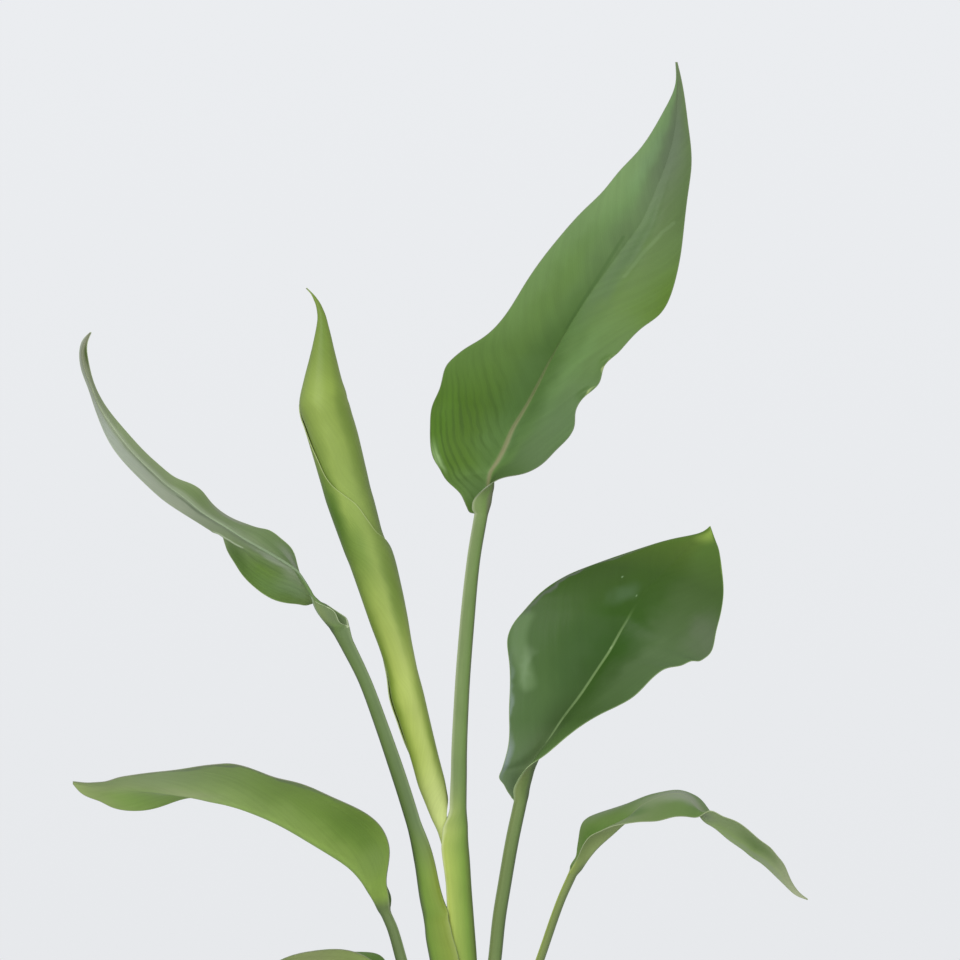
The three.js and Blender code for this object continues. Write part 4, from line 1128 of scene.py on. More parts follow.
def stalk_grids(letter, heights, half_columns):
    """Outer and inner points of a stalk's rings at some heights."""
    stalk = STALKS[letter]
    rings = gentle_rows(stalk["rings"], heights)
    centre, height, back, back_thick, front, half, wing, reach = rings.T
    share = np.linspace(-1, 1, half_columns * 2 + 1)[None, :]
    angle = np.radians(reach)[:, None] * share
    lean = ring_lean(centre - back * stalk["opening"], height)
    grids = []
    for behind, ahead, side in [
        (back, front, half),
        (back - back_thick, front - wing, half - wing),
    ]:
        radius = np.where(np.cos(angle) > 0, behind[:, None], ahead[:, None])
        across = -np.cos(angle) * radius * stalk["opening"]
        depth = np.sin(angle) * side[:, None]
        grids.append(place_rings(across, depth, centre, height, lean))
    return grids


def stalk_heights(letter):
    """Heights of a stalk's rows of points, from its foot to the blade."""
    rings = STALKS[letter]["rings"]
    return np.linspace(rings[0][1], rings[-1][1], STALK_ROWS)


def round_marks(round_mm):
    """Marks of the distance round a sheet and of the distance to its nearer edge."""
    return {"round_mm": round_mm, "rim_mm": np.minimum(round_mm, round_mm[:, -1:] - round_mm)}


def stalk_marks(outer, heights):
    """The marks that a stalk's material reads."""
    shares = np.linspace(-1, 1, outer.shape[1])[None, :]
    steps = np.linalg.norm(np.diff(outer, axis=1), axis=-1)
    round_mm = np.concatenate([0 * heights[:, None], np.cumsum(steps, axis=1)], axis=1)
    return {
        "height_mm": heights[:, None] + 0 * shares,
        "across": shares + 0 * heights[:, None],
        **round_marks(round_mm),
    }


def blade_foot(letter, columns):
    """Upper and lower points of the section that the stalk ends in."""
    lower, upper = [grid[-1] for grid in stalk_grids(letter, stalk_heights(letter), columns // 2)]
    if STALKS[letter]["opening"] < 0:
        lower, upper = lower[::-1], upper[::-1]
    return upper, lower


def column_shares():
    """Places of the columns from one margin to the other, closer at the rib and the margins."""
    place = np.linspace(-1, 1, BLADE_HALF_COLUMNS * 2 + 1)
    size = np.abs(place)
    return np.sign(place) * (size + smooth_step(size, 0, 1)) / 2


def pleat_step(blade, along, shares, width):
    """Height of the step where a half folds behind itself, and the distance to the fold."""
    places, folds, depths = np.array(blade["pleat"]).T
    fold = np.interp(along, places, folds)
    depth = np.interp(along, places, depths, left=0, right=0)
    step = depth * smooth_step(shares, fold - PLEAT_BEFORE, fold + PLEAT_BEYOND)
    shallow = 1 - smooth_step(depth, *PLEAT_DEPTHS)
    return step, np.abs(shares - fold) * width + PLEAT_REACH * shallow


def blade_swell(blade, along, shares, width):
    """Height of a blade's bumps and pleat, and the distance to the pleat's fold."""
    swell = np.zeros(width.shape)
    for place, spot, long, wide, height in blade["bumps"]:
        swell += height * np.exp(-(((along - place) / long) ** 2) - ((shares - spot) / wide) ** 2)
    if "pleat" not in blade:
        return swell, np.inf
    step, distance = pleat_step(blade, along, shares, width)
    return swell + step, distance


def half_sheets(blade, rails, along, shares):
    """Points half way through the blade's thickness, and the width of the half they lie in."""
    left, rib, right = rails[:, 0], rails[:, 1], rails[:, 2]
    direction = np.gradient(rib, axis=0)
    direction /= np.linalg.norm(direction, axis=-1, keepdims=True)
    middle = np.zeros((len(rails), shares.shape[1], 3))
    width = np.zeros(middle.shape[:2])
    trough = np.clip(1 - along / TROUGH_SHARE, 0, 1)
    fade = np.sin(np.pi * np.clip((along - WAVE_START) / WAVE_SPAN, 0, 1))
    wave_height = blade["wave"] * bpy.context.scene.plant_leaves.wave
    for side, margin in ((-1, left), (1, right)):
        chosen = (shares[0] * side > 0) | (shares[0] == 0)
        across = margin - rib
        reach = np.linalg.norm(across, axis=-1, keepdims=True)
        up = np.cross(across * side, direction)
        up /= np.maximum(np.linalg.norm(up, axis=-1, keepdims=True), TINY)
        out = np.abs(shares)[:, chosen]
        arch = (blade["arch"] * (1 - trough) - TROUGH_DEPTH * trough) * reach
        turn = along * math.tau * BLADE_WAVES + blade["phase"] + side
        wave = np.sin(turn) * wave_height * fade
        lift = arch * 4 * out * (1 - out) + wave * out * out
        middle[:, chosen] = rib[:, None] + across[:, None] * out[..., None]
        middle[:, chosen] += up[:, None] * lift[..., None]
        width[:, chosen] = reach
    return middle, width


def blade_faces(blade, middle, along, from_rib, rim):
    """Upper and lower faces of a blade. The midrib stands out below, and near the base above too."""
    rib_height = blade["rib"] * bpy.context.scene.plant_leaves.rib * (1 - along) ** RIB_TAPER
    rib_half = RIB_TIP_HALF + RIB_BASE_EXTRA * (1 - along)
    keel = rib_height * np.exp(-((from_rib / rib_half) ** 2))
    inside = np.clip(rim / MARGIN_WIDTH, 0, 1)
    thick = MARGIN_THICKNESS + (BLADE_THICKNESS - MARGIN_THICKNESS) * inside
    share_up = RIB_UPPER_SHARE * np.clip(1 - along / RIB_UPPER_END, 0, 1)
    normals = grid_normals(middle)
    upper = middle + normals * (thick / 2 + keel * share_up)[..., None]
    lower = middle - normals * (thick / 2 + keel * (1 - share_up))[..., None]
    return upper, lower


def crease_distance(points, along_mm, across_mm, width):
    """Distance of each grid point to a line of (along, across) points, in millimetres."""
    nearest = np.full(along_mm.shape, np.inf)
    for (start, start_side), (end, end_side) in zip(points, points[1:]):
        line_along = (end - start) * along_mm[-1, 0]
        line_across = (end_side - start_side) * width
        from_along = along_mm - start * along_mm[-1, 0]
        from_across = across_mm - start_side * width
        share = from_along * line_along + from_across * line_across
        share = np.clip(share / (line_along**2 + line_across**2 + TINY), 0, 1)
        far = np.hypot(from_along - share * line_along, from_across - share * line_across)
        nearest = np.minimum(nearest, far)
    return nearest


def blade_marks(blade, length, along, shares, width, rim):
    """The marks that a blade's materials read."""
    size = np.abs(shares)
    wide, narrow, end = blade["rib_line"]
    rib_line = narrow + (wide - narrow) * np.clip(1 - along / end, 0, 1)
    marks = {
        "along": along + 0 * size,
        "across": shares + 0 * along,
        "rim_mm": rim,
        "rib_line": size * width / rib_line,
        "vein_mm": along * length - blade["slant"] * width * (size + VEIN_CURL * size**4),
    }
    along_mm, across_mm = along * length + 0 * size, shares * width
    for place, (points, half_width, _, _) in enumerate(blade["creases"]):
        far = crease_distance(points, along_mm, across_mm, width)
        marks[f"crease_{place}"] = far / half_width
    return marks


def blade_grids(letter):
    """Upper and lower faces of a blade that grows out of its stalk, and its marks."""
    blade = BLADES[letter]
    rails, length = even_spline(blade["rows"], blade["count"])
    along = np.linspace(0, 1, len(rails))[:, None]
    shares = column_shares()[None, :]
    size = np.abs(shares)
    middle, width = half_sheets(blade, rails, along, shares)
    swell, fold = blade_swell(blade, along, shares, width)
    rim = np.minimum(np.minimum((1 - size) * width, (1 - along) * length), fold)
    middle += grid_normals(middle) * swell[..., None]
    upper, lower = blade_faces(blade, middle, along, size * width, rim)
    foot_upper, foot_lower = blade_foot(letter, shares.shape[1] - 1)
    moved = (rails[:, 1] - rails[0, 1])[:, None]
    blend = smooth_step(along, 0, BLADE_FOOT_SHARE)[..., None]
    upper = upper * blend + (foot_upper[None] + moved) * (1 - blend)
    lower = lower * blend + (foot_lower[None] + moved) * (1 - blend)
    return upper, lower, blade_marks(blade, length, along, shares, width, rim)


def add_node(tree, kind, inputs=None, output=0, stops=(), **settings):
    """Adds a node, sets its settings and its ramp's stops, and sets or links its inputs. A text
    is a hex colour. Returns one of its outputs, if it has any."""
    node = tree.nodes.new(kind)
    for name, value in settings.items():
        setattr(node, name, value)
    while stops and len(node.color_ramp.elements) < len(stops):
        node.color_ramp.elements.new(0.5)
    for number, (place, colour) in enumerate(stops):
        node.color_ramp.elements[number].position = place
        node.color_ramp.elements[number].color = linear(colour)
    for name, value in (inputs or {}).items():
        if isinstance(value, bpy.types.NodeSocket):
            tree.links.new(value, node.inputs[name])
        else:
            node.inputs[name].default_value = linear(value) if isinstance(value, str) else value
    return node.outputs[output] if node.outputs else None


def new_material(name):
    """An empty material and its node tree."""
    material = bpy.data.materials.new(name)
    material.use_nodes = True
    material.node_tree.nodes.clear()
    return material, material.node_tree


def close_material(tree, inputs):
    """Ends a material in one solid surface."""
    surface = add_node(tree, "ShaderNodeBsdfPrincipled", inputs)
    add_node(tree, "ShaderNodeOutputMaterial", {"Surface": surface})


def read_marks(tree, *names):
    """The marks that leaf_sheet has left on a sheet's points."""
    settings = {"attribute_type": "GEOMETRY"}
    return [
        add_node(tree, "ShaderNodeAttribute", output="Fac", attribute_name=name, **settings)
        for name in names
    ]


def laid_over(tree, colour, tint, value, bare, full, strength=1.0):
    """Lays a tint softly over a colour: not at all where value is at bare, and with its whole
    strength where it is at full."""
    share = add_node(
        tree,
        "ShaderNodeMapRange",
        {"Value": value, "From Min": bare, "From Max": full, "To Max": strength},
        interpolation_type="SMOOTHSTEP",
    )
    return add_node(tree, "ShaderNodeMix", {0: share, 6: colour, 7: tint}, 2, data_type="RGBA")


def patches(tree, size_mm, low, high, detail=2.0, vector=None, strength=1.0):
    """Soft patches of about size_mm, as a share from 0 to their strength. The vector is in
    millimetres, or if none is given it is the place on the object."""
    scale = 1 / size_mm
    if vector is None:
        vector = add_node(tree, "ShaderNodeTexCoord", output="Object")
        scale /= MM
    cloud = add_node(
        tree,
        "ShaderNodeTexNoise",
        {"Vector": vector, "Scale": scale, "Detail": detail, "Roughness": 0.5},
        output="Fac",
        noise_dimensions="3D",
    )
    return add_node(
        tree,
        "ShaderNodeMapRange",
        {"Value": cloud, "From Min": low, "From Max": high, "To Max": strength},
        interpolation_type="SMOOTHSTEP",
    )


def shaded(tree, colour, share, darkest):
    """Darkens a colour where share is 0, so that darkest of its light is left."""
    # The hex grey that leaves this much light once it is made linear
    level = round(255 * (1.055 * darkest ** (1 / 2.4) - 0.055))
    stops = [(0, f"{level:02x}" * 3), (1, "ffffff")]
    shade = add_node(tree, "ShaderNodeValToRGB", {"Fac": share}, stops=stops)
    settings = {"data_type": "RGBA", "blend_type": "MULTIPLY"}
    return add_node(tree, "ShaderNodeMix", {0: 1.0, 6: colour, 7: shade}, 2, **settings)


def loosened(tree, across, wobble, reach):
    """A place across a leaf, pushed to and fro so that soft edges of colour don't run straight."""
    back = add_node(tree, "ShaderNodeMath", {0: across, 1: -reach / 2}, operation="ADD")
    inputs = {0: wobble, 1: reach, 2: back}
    return add_node(tree, "ShaderNodeMath", inputs, operation="MULTIPLY_ADD")


def evenly(colours):
    """Stops of a ramp that are equally far apart."""
    last = len(colours) - 1
    return [(place / last, colour) for place, colour in enumerate(colours)]


def spot_distance(tree, where, place, spot, long, wide):
    """Distance from the middle of a soft spot, which is 1 at its size along and across."""
    inputs = {
        "Vector": where,
        "Location": (-place / long, -spot / wide, 0),
        "Scale": (1 / long, 1 / wide, 1),
    }
    scaled = add_node(tree, "ShaderNodeMapping", inputs)
    return add_node(tree, "ShaderNodeVectorMath", {0: scaled}, "Value", operation="LENGTH")


def touched(tree, colour, where, touches):
    """Lays soft spots of colour on a leaf, at their places along and across it."""
    for place, spot, long, wide, tint, strength in touches:
        far = spot_distance(tree, where, place, spot, long, wide)
        colour = laid_over(tree, colour, tint, far, *SPOT_EDGE, strength)
    return colour


def vein_waves(tree, vein, spacing, wobble, sway):
    """A wave from -1 to 1 for each side vein, which sways a little."""
    push = add_node(tree, "ShaderNodeMath", {0: wobble, 1: sway}, operation="MULTIPLY")
    inputs = {0: vein, 1: math.tau / spacing, 2: push}
    angle = add_node(tree, "ShaderNodeMath", inputs, operation="MULTIPLY_ADD")
    return add_node(tree, "ShaderNodeMath", {0: angle}, operation="SINE")


def blade_colour(tree, own, along, loose, where):
    """The runs of colour of a blade's halves and its middle, with their touches."""
    left, colour, right = [
        add_node(tree, "ShaderNodeValToRGB", {"Fac": along}, stops=evenly(run))
        for run in own["runs"]
    ]
    colour = laid_over(tree, colour, left, loose, -0.1, -0.6)
    colour = laid_over(tree, colour, right, loose, 0.08, 0.5)
    return touched(tree, colour, where, own["touches"])


def vein_bands(tree, vein, across):
    """Soft bands along the side veins, where the blade is a little corrugated."""
    spread = add_node(tree, "ShaderNodeMath", {0: across, 1: BAND_SPREAD}, operation="MULTIPLY")
    flow = add_node(tree, "ShaderNodeCombineXYZ", {"X": vein, "Y": spread})
    width = bpy.context.scene.plant_leaves.band_width / MM
    return patches(tree, width, 0.3, 0.7, 1.5, flow)


def striped(tree, colour, own, where, vein, wobble, bands):
    """Broad dark stripes along the side veins: painted shade in the pleats that the veins make."""
    waves = vein_waves(tree, vein, STRIPE_SPACING, wobble, STRIPE_SWAY)
    dark = laid_over(tree, colour, own["pleat_shade_colour"], waves, -0.4, 1.0)
    inputs = {0: bands, 1: -0.7, 2: 1.0}
    between = add_node(tree, "ShaderNodeMath", inputs, operation="MULTIPLY_ADD")
    inputs = {0: between, 6: colour, 7: dark}
    dark = add_node(tree, "ShaderNodeMix", inputs, 2, data_type="RGBA")
    *spot, strength = own["stripes"]
    far = spot_distance(tree, where, *spot)
    return laid_over(tree, colour, dark, far, *SPOT_EDGE, strength)


def ribbed(tree, colour, letter, along, rib):
    """The midrib's line, which fades out toward the tip, and the thin lines of the creases, some of
    which are painted highlight and painted shade.
    """
    look, end = BLADE_LOOKS[letter], BLADES[letter]["rib_line"][2]
    stops = list(zip((0.3 * end, end), look["rib"]))
    rib_colour = add_node(tree, "ShaderNodeValToRGB", {"Fac": along}, stops=stops)
    lined = laid_over(tree, colour, rib_colour, rib, *RIB_EDGE, look["rib_strength"])
    colour = laid_over(tree, colour, lined, along, end * 1.12, end * 0.8)
    for place, (_, _, tint, strength) in enumerate(BLADES[letter]["creases"]):
        near = read_marks(tree, f"crease_{place}")[0]
        colour = laid_over(tree, colour, tint, near, *CREASE_EDGE, strength)
    return colour


def blade_material(letter, face):
    """Living leaf: a waxy skin over green tissue. Fine side veins and softer bands run out from the
    midrib, and the thin margin lets light through, so it looks pale. The underside is bluer and
    duller, from its wax."""
    look = BLADE_LOOKS[letter]
    own = look[face]
    material, tree = new_material(f"waxy_leaf_{letter}_{face}")
    along, across, rim = read_marks(tree, "along", "across", "rim_mm")
    rib, vein = read_marks(tree, "rib_line", "vein_mm")
    wobble = patches(tree, LEAF_WOBBLE, 0.2, 0.8)
    loose = loosened(tree, across, wobble, 0.16)
    where = add_node(tree, "ShaderNodeCombineXYZ", {"X": along, "Y": loose})
    colour = blade_colour(tree, own, along, loose, where)
    bands = vein_bands(tree, vein, across)
    colour = shaded(tree, colour, bands, 1 - 0.3 * own["bands"])
    spacing = bpy.context.scene.plant_leaves.vein_spacing / MM
    waves = vein_waves(tree, vein, spacing, wobble, VEIN_SWAY)
    fine = add_node(tree, "ShaderNodeMath", {0: waves, 1: 0.5, 2: 0.5}, operation="MULTIPLY_ADD")
    colour = shaded(tree, colour, fine, 1 - 0.12 * own["bands"])
    if "stripes" in own:
        colour = striped(tree, colour, own, where, vein, wobble, bands)
    cloudy = patches(tree, LEAF_CLOUDS, 0.35, 0.65)
    colour = shaded(tree, colour, cloudy, 0.94)
    colour = ribbed(tree, colour, letter, along, rib)
    # The foot has the stalk's colour, and the margin is pale
    foot_colour = round_colour(tree, across, STALK_LOOKS[letter]["high"])
    foot_edge = look["foot"] if face == "under" else (BLADE_FOOT_SHARE, 0)
    colour = laid_over(tree, colour, foot_colour, along, *foot_edge)
    tint, wide, strength = look["margin"]
    colour = laid_over(tree, colour, tint, rim, wide * 1.5, wide * 0.5, strength)
    inputs = {0: fine, 1: 0.1, 2: bands}
    height = add_node(tree, "ShaderNodeMath", inputs, operation="MULTIPLY_ADD")
    inputs = {"Strength": 0.6 * own["bands"], "Distance": BAND_HEIGHT * MM, "Height": height}
    bump = add_node(tree, "ShaderNodeBump", inputs)
    rough = look["roughness"] if face == "upper" else UNDERSIDE_ROUGHNESS
    inputs = {"Value": cloudy, "To Min": rough - 0.04, "To Max": rough + 0.06}
    uneven = add_node(tree, "ShaderNodeMapRange", inputs)
    skin = {"Base Color": colour, "Roughness": uneven, "Normal": bump}
    close_material(tree, {**skin, "IOR": WAX_IOR, "Specular IOR Level": 0.22})
    return material


def round_colour(tree, across, colours):
    """The four colours of a stalk from its back round to its wings' edges."""
    around = add_node(tree, "ShaderNodeMath", {0: across}, operation="ABSOLUTE")
    stops = list(zip(ROUND_STOPS, colours))
    return add_node(tree, "ShaderNodeValToRGB", {"Fac": around}, stops=stops)


def margin_material(letter):
    """The thin edge of a leaf, pale because light comes through it."""
    look = BLADE_LOOKS[letter]
    material, tree = new_material(f"leaf_margin_{letter}")
    speck = patches(tree, MARGIN_SPECKS, 0.4, 0.6, strength=0.4)
    inputs = {0: speck, 6: look["margin"][0], 7: look["upper"]["runs"][1][2]}
    colour = add_node(tree, "ShaderNodeMix", inputs, 2, data_type="RGBA")
    close_material(tree, {"Base Color": colour, "Roughness": 0.5})
    return material


def satin_skin(tree, colour, edge_colour):
    """Smooth living skin with fine fibres along it and a pale edge."""
    height, round_mm, rim = read_marks(tree, "height_mm", "round_mm", "rim_mm")
    inputs = {0: height, 1: FIBRE_STRETCH}
    drawn_out = add_node(tree, "ShaderNodeMath", inputs, operation="MULTIPLY")
    flow = add_node(tree, "ShaderNodeCombineXYZ", {"X": round_mm, "Y": drawn_out})
    fibres = patches(tree, FIBRE_WIDTH, 0.35, 0.65, 2.0, flow)
    colour = shaded(tree, colour, fibres, 0.96)
    colour = shaded(tree, colour, patches(tree, SKIN_CLOUDS, 0.35, 0.65), 0.93)
    colour = laid_over(tree, colour, edge_colour, rim, 0.5, 0.1, 0.5)
    inputs = {"Strength": 0.25, "Distance": 0.12 * MM, "Height": fibres}
    bump = add_node(tree, "ShaderNodeBump", inputs)
    skin = {"Base Color": colour, "Roughness": 0.42, "Normal": bump}
    close_material(tree, {**skin, "IOR": WAX_IOR, "Specular IOR Level": 0.3})


def stalk_material(letter):
    """Smooth living stalk: satin skin that is darkest on its round back and pale at its wings, and
    yellower low down, where it is an open sheath. The pale wings are partly their own colour and
    partly painted highlight."""
    look = STALK_LOOKS[letter]
    material, tree = new_material(f"satin_stalk_{letter}")
    height, across = read_marks(tree, "height_mm", "across")
    sheath = round_colour(tree, across, look["low"])
    stalk = round_colour(tree, across, look["high"])
    colour = laid_over(tree, sheath, stalk, height, *STALKS[letter]["sheath"])
    satin_skin(tree, colour, look["high"][3])
    return material


def rolled_material():
    """Young leaf, still rolled up: thin, smooth and yellow-green, with a satin skin. Its colours
    from side to side are painted light and shade.
    """
    material, tree = new_material("young_satin_leaf")
    along, side = read_marks(tree, "along", "side")
    loose = loosened(tree, side, patches(tree, ROLL_WOBBLE, 0.2, 0.8), 0.2)
    place = add_node(tree, "ShaderNodeMath", {0: loose, 1: 0.5, 2: 0.5}, operation="MULTIPLY_ADD")
    low, half, high = [
        add_node(tree, "ShaderNodeValToRGB", {"Fac": place}, stops=evenly(ROLLED_LOOK[part]))
        for part in ("low", "half", "high")
    ]
    colour = laid_over(tree, low, half, along, 0.3, 0.55)
    colour = laid_over(tree, colour, high, along, 0.6, 0.8)
    where = add_node(tree, "ShaderNodeCombineXYZ", {"X": along, "Y": loose})
    colour = touched(tree, colour, where, ROLLED_LOOK["touches"])
    satin_skin(tree, colour, ROLLED_LOOK["edge"])
    return material


def pot_material(colour):
    """Stoneware with a matt glaze: faint turning lines and tiny specks in it."""
    material, tree = new_material("matt_glazed_stoneware")
    place = add_node(tree, "ShaderNodeTexCoord", output="Object")
    height = add_node(tree, "ShaderNodeSeparateXYZ", {"Vector": place}, output="Z")
    glaze = (*[linear_part(part) for part in colour], 1.0)
    cloudy = patches(tree, POT_CLOUDS, 0.35, 0.7, strength=0.5)
    specks = patches(tree, POT_SPECKS, 0.68, 0.74, 0.0, strength=0.4)
    for share, tint in ((cloudy, POT_SHADE), (specks, POT_SPECK_COLOUR)):
        inputs = {0: share, 6: glaze, 7: tint}
        glaze = add_node(tree, "ShaderNodeMix", inputs, 2, data_type="RGBA")
    inputs = {0: height, 1: math.tau / (TURNING_LINES * MM)}
    angle = add_node(tree, "ShaderNodeMath", inputs, operation="MULTIPLY")
    lines = add_node(tree, "ShaderNodeMath", {0: angle}, operation="SINE")
    inputs = {"Strength": 0.12, "Distance": 0.2 * MM, "Height": lines}
    bump = add_node(tree, "ShaderNodeBump", inputs)
    close_material(tree, {"Base Color": glaze, "Roughness": 0.5, "Normal": bump})
    return material


def crumbly_material(name):
    """Peat, bark or perlite: matt and rough, lighter on its raised grains."""
    dark, light, grain_mm, rise_mm, detail = CRUMBLY_LOOKS[name]
    material, tree = new_material(name)
    grains = patches(tree, grain_mm, 0.35, 0.68, detail)
    inputs = {0: grains, 6: dark, 7: light}
    colour = add_node(tree, "ShaderNodeMix", inputs, 2, data_type="RGBA")
    inputs = {"Strength": 0.8, "Distance": rise_mm * MM, "Height": grains}
    bump = add_node(tree, "ShaderNodeBump", inputs)
    close_material(tree, {"Base Color": colour, "Roughness": 0.9, "Normal": bump})
    return material


class PLANT_OT_add_blades(bpy.types.Operator):
    """Add the six open blades"""

    bl_idname = "plant.add_blades"
    bl_label = "Add blades"

    def execute(self, context):
        for letter in BLADES:
            upper, lower, marks = blade_grids(letter)
            materials = [
                blade_material(letter, "upper"),
                blade_material(letter, "under"),
                margin_material(letter),
            ]
            piece = leaf_sheet(f"blade_{letter}", upper, lower, materials, marks)
            finish_piece(piece, BLADE_SLOTS[letter], f"leaf_{letter}_blade")
        return {"FINISHED"}


class PLANT_OT_add_stalks(bpy.types.Operator):
    """Add the six grooved stalks with their sheaths"""

    bl_idname = "plant.add_stalks"
    bl_label = "Add stalks"

    def execute(self, context):
        for letter, stalk in STALKS.items():
            heights = stalk_heights(letter)
            outer, inner = stalk_grids(letter, heights, STALK_HALF_COLUMNS)
            marks = stalk_marks(outer, heights)
            piece = leaf_sheet(f"stalk_{letter}", outer, inner, [stalk_material(letter)], marks)
            finish_piece(piece, stalk["slot"], f"leaf_{letter}_stalk")
        return {"FINISHED"}


def rolled_grids():
    """Outer and inner points of the rolled leaf's spiral, and the marks that its material reads."""
    low, high = ROLLED_LEAF[0][1], ROLLED_LEAF[-1][1]
    rings = gentle_rows(ROLLED_LEAF, np.linspace(low, high, ROLL_ROWS))
    centre, height, radius_x, radius_y, margin, turn, middle = rings.T
    share = np.linspace(0, 1, ROLL_COLUMNS)[None, :]
    angle = np.radians(margin[:, None] - turn[:, None] * share)
    narrow = np.minimum(1, radius_x / ROLL_FULL_RADIUS)[:, None]
    inset = ROLL_PITCH * turn[:, None] * share / 360 * narrow
    thick = ROLL_EDGE + (middle[:, None] - ROLL_EDGE) * np.sin(np.pi * share) ** ROLL_FULLNESS
    lean = ring_lean(centre, height)
    grids = []
    for depth in (inset, inset + thick):
        across = np.cos(angle) * (radius_x[:, None] - depth)
        deep = np.sin(angle) * (radius_y[:, None] - depth)
        grids.append(place_rings(across, deep, centre, height, lean))
    marks = {
        "along": ((height - ROLL_LOOK_START) / ROLL_LOOK_LENGTH)[:, None] + 0 * share,
        "side": np.cos(angle),
        "height_mm": height[:, None] + 0 * share,
        **round_marks(share * np.radians(turn[:, None]) * radius_x[:, None]),
    }
    return *grids, marks


class PLANT_OT_add_rolled_leaf(bpy.types.Operator):
    """Add the newest leaf, still rolled up"""

    bl_idname = "plant.add_rolled_leaf"
    bl_label = "Add rolled leaf"

    def execute(self, context):
        outer, inner, marks = rolled_grids()
        piece = leaf_sheet("rolled_leaf", outer, inner, [rolled_material()], marks)
        finish_piece(piece, "new_leaf", "leaf_c_rolled")
        return {"FINISHED"}


def turned_shell(name, profile, sides):
    """A profile turned round the upright axis: a circle, extruded and resized ring by ring."""
    deselect_all()
    radius, height = profile[0]
    bpy.ops.mesh.primitive_circle_add(
        vertices=sides, radius=radius * MM, location=(0, 0, height * MM), enter_editmode=True
    )
    for wide, high in profile[1:]:
        bpy.ops.mesh.extrude_region_move(
            TRANSFORM_OT_translate={"value": (0, 0, (high - height) * MM)}
        )
        bpy.ops.transform.resize(value=(wide / radius, wide / radius, 1))
        radius, height = wide, high
    bpy.ops.mesh.edge_face_add()
    bpy.ops.mesh.select_all(action="DESELECT")
    bpy.ops.mesh.select_non_manifold()
    bpy.ops.mesh.edge_face_add()
    bpy.ops.object.mode_set(mode="OBJECT")
    piece = bpy.context.object
    piece.name = piece.data.name = name
    place_at_origin(piece)
    return piece


def place_at_origin(piece):
    """Leaves the object at the origin, with its place in its mesh."""
    bpy.ops.object.transform_apply(location=True, rotation=True, scale=True)
    face_outward(piece)


def cut_drain_holes(pot):
    """Cuts round holes through the pot's floor, evenly round its middle."""
    for turn in range(DRAIN_HOLES):
        angle = math.tau * turn / DRAIN_HOLES + math.pi / 6
        place = (math.cos(angle) * DRAIN_DISTANCE * MM, math.sin(angle) * DRAIN_DISTANCE * MM, 0)
        deselect_all()
        bpy.ops.mesh.primitive_cylinder_add(
            vertices=40, radius=DRAIN_RADIUS * MM, depth=POT_FLOOR * 3 * MM, location=place
        )
        cutter = bpy.context.object
        deselect_all()
        pot.select_set(True)
        bpy.context.view_layer.objects.active = pot
        apply_modifier(pot, "BOOLEAN", operation="DIFFERENCE", solver="EXACT", object=cutter)
        bpy.data.objects.remove(cutter)


class PLANT_OT_add_pot(bpy.types.Operator):
    """Add the plain tapered pot"""

    bl_idname = "plant.add_pot"
    bl_label = "Add pot"

    def execute(self, context):
        pot = turned_shell("pot", POT_PROFILE, POT_SIDES)
        cut_drain_holes(pot)
        edges = {"limit_method": "ANGLE", "angle_limit": math.radians(20)}
        apply_modifier(pot, "BEVEL", width=POT_EDGE * MM, segments=3, **edges)
        bpy.ops.object.shade_smooth_by_angle(angle=math.radians(35))
        pot.data.materials.append(pot_material(context.scene.plant_pot.colour))
        finish_piece(pot, "pot", "pot")
        return {"FINISHED"}


def soil_top(x, y):
    """Height of the potting mix: a low mound with soft lumps and small crumbs."""
    reach = min(1, math.hypot(x, y) / SOIL_RADIUS)
    width, height = SOIL_LUMPS
    rough = noise.noise(Vector((x / width, y / width, 3))) * height
    width, height = SOIL_CRUMBS
    rough += noise.noise(Vector((x / width, y / width, 9))) * height
    # It lies flatter where it meets the pot
    loose = 1 - 0.75 * smooth_step(reach, 0.93, 1)
    return SOIL_HEIGHT + SOIL_MOUND * (1 - reach**1.5) + rough * loose


def soil_rings():
    """Rings of points from the hole that the plant stands in, over the top and down the side."""
    centre, wide, deep, bottom = CROWN_HOLE
    turn = np.linspace(0, math.tau, SOIL_COLUMNS)
    hole = np.stack([centre + wide * np.cos(turn), deep * np.sin(turn)], axis=-1)
    wall = np.stack([np.cos(turn), np.sin(turn)], axis=-1)
    rings = [(hole * 0 + (centre, 0), bottom), (hole, bottom)]
    rings += [(hole, height) for height in CROWN_HOLE_RINGS]
    for share in np.linspace(0, 1, SOIL_TOP_RINGS):
        rings.append((hole * (1 - share) + wall * SOIL_RADIUS * share, None))
    rings.append((wall * SOIL_RADIUS, SOIL_SHOULDER))
    rings += [(wall * SOIL_FOOT_RADIUS, SOIL_FOOT), (wall * 0, SOIL_FOOT)]
    # Where a ring has no height, the mix's top gives it
    points = np.zeros((len(rings), SOIL_COLUMNS, 3))
    for row, (ring, height) in enumerate(rings):
        points[row, :, :2] = ring
        points[row, :, 2] = [soil_top(x, y) for x, y in ring] if height is None else height
    return points


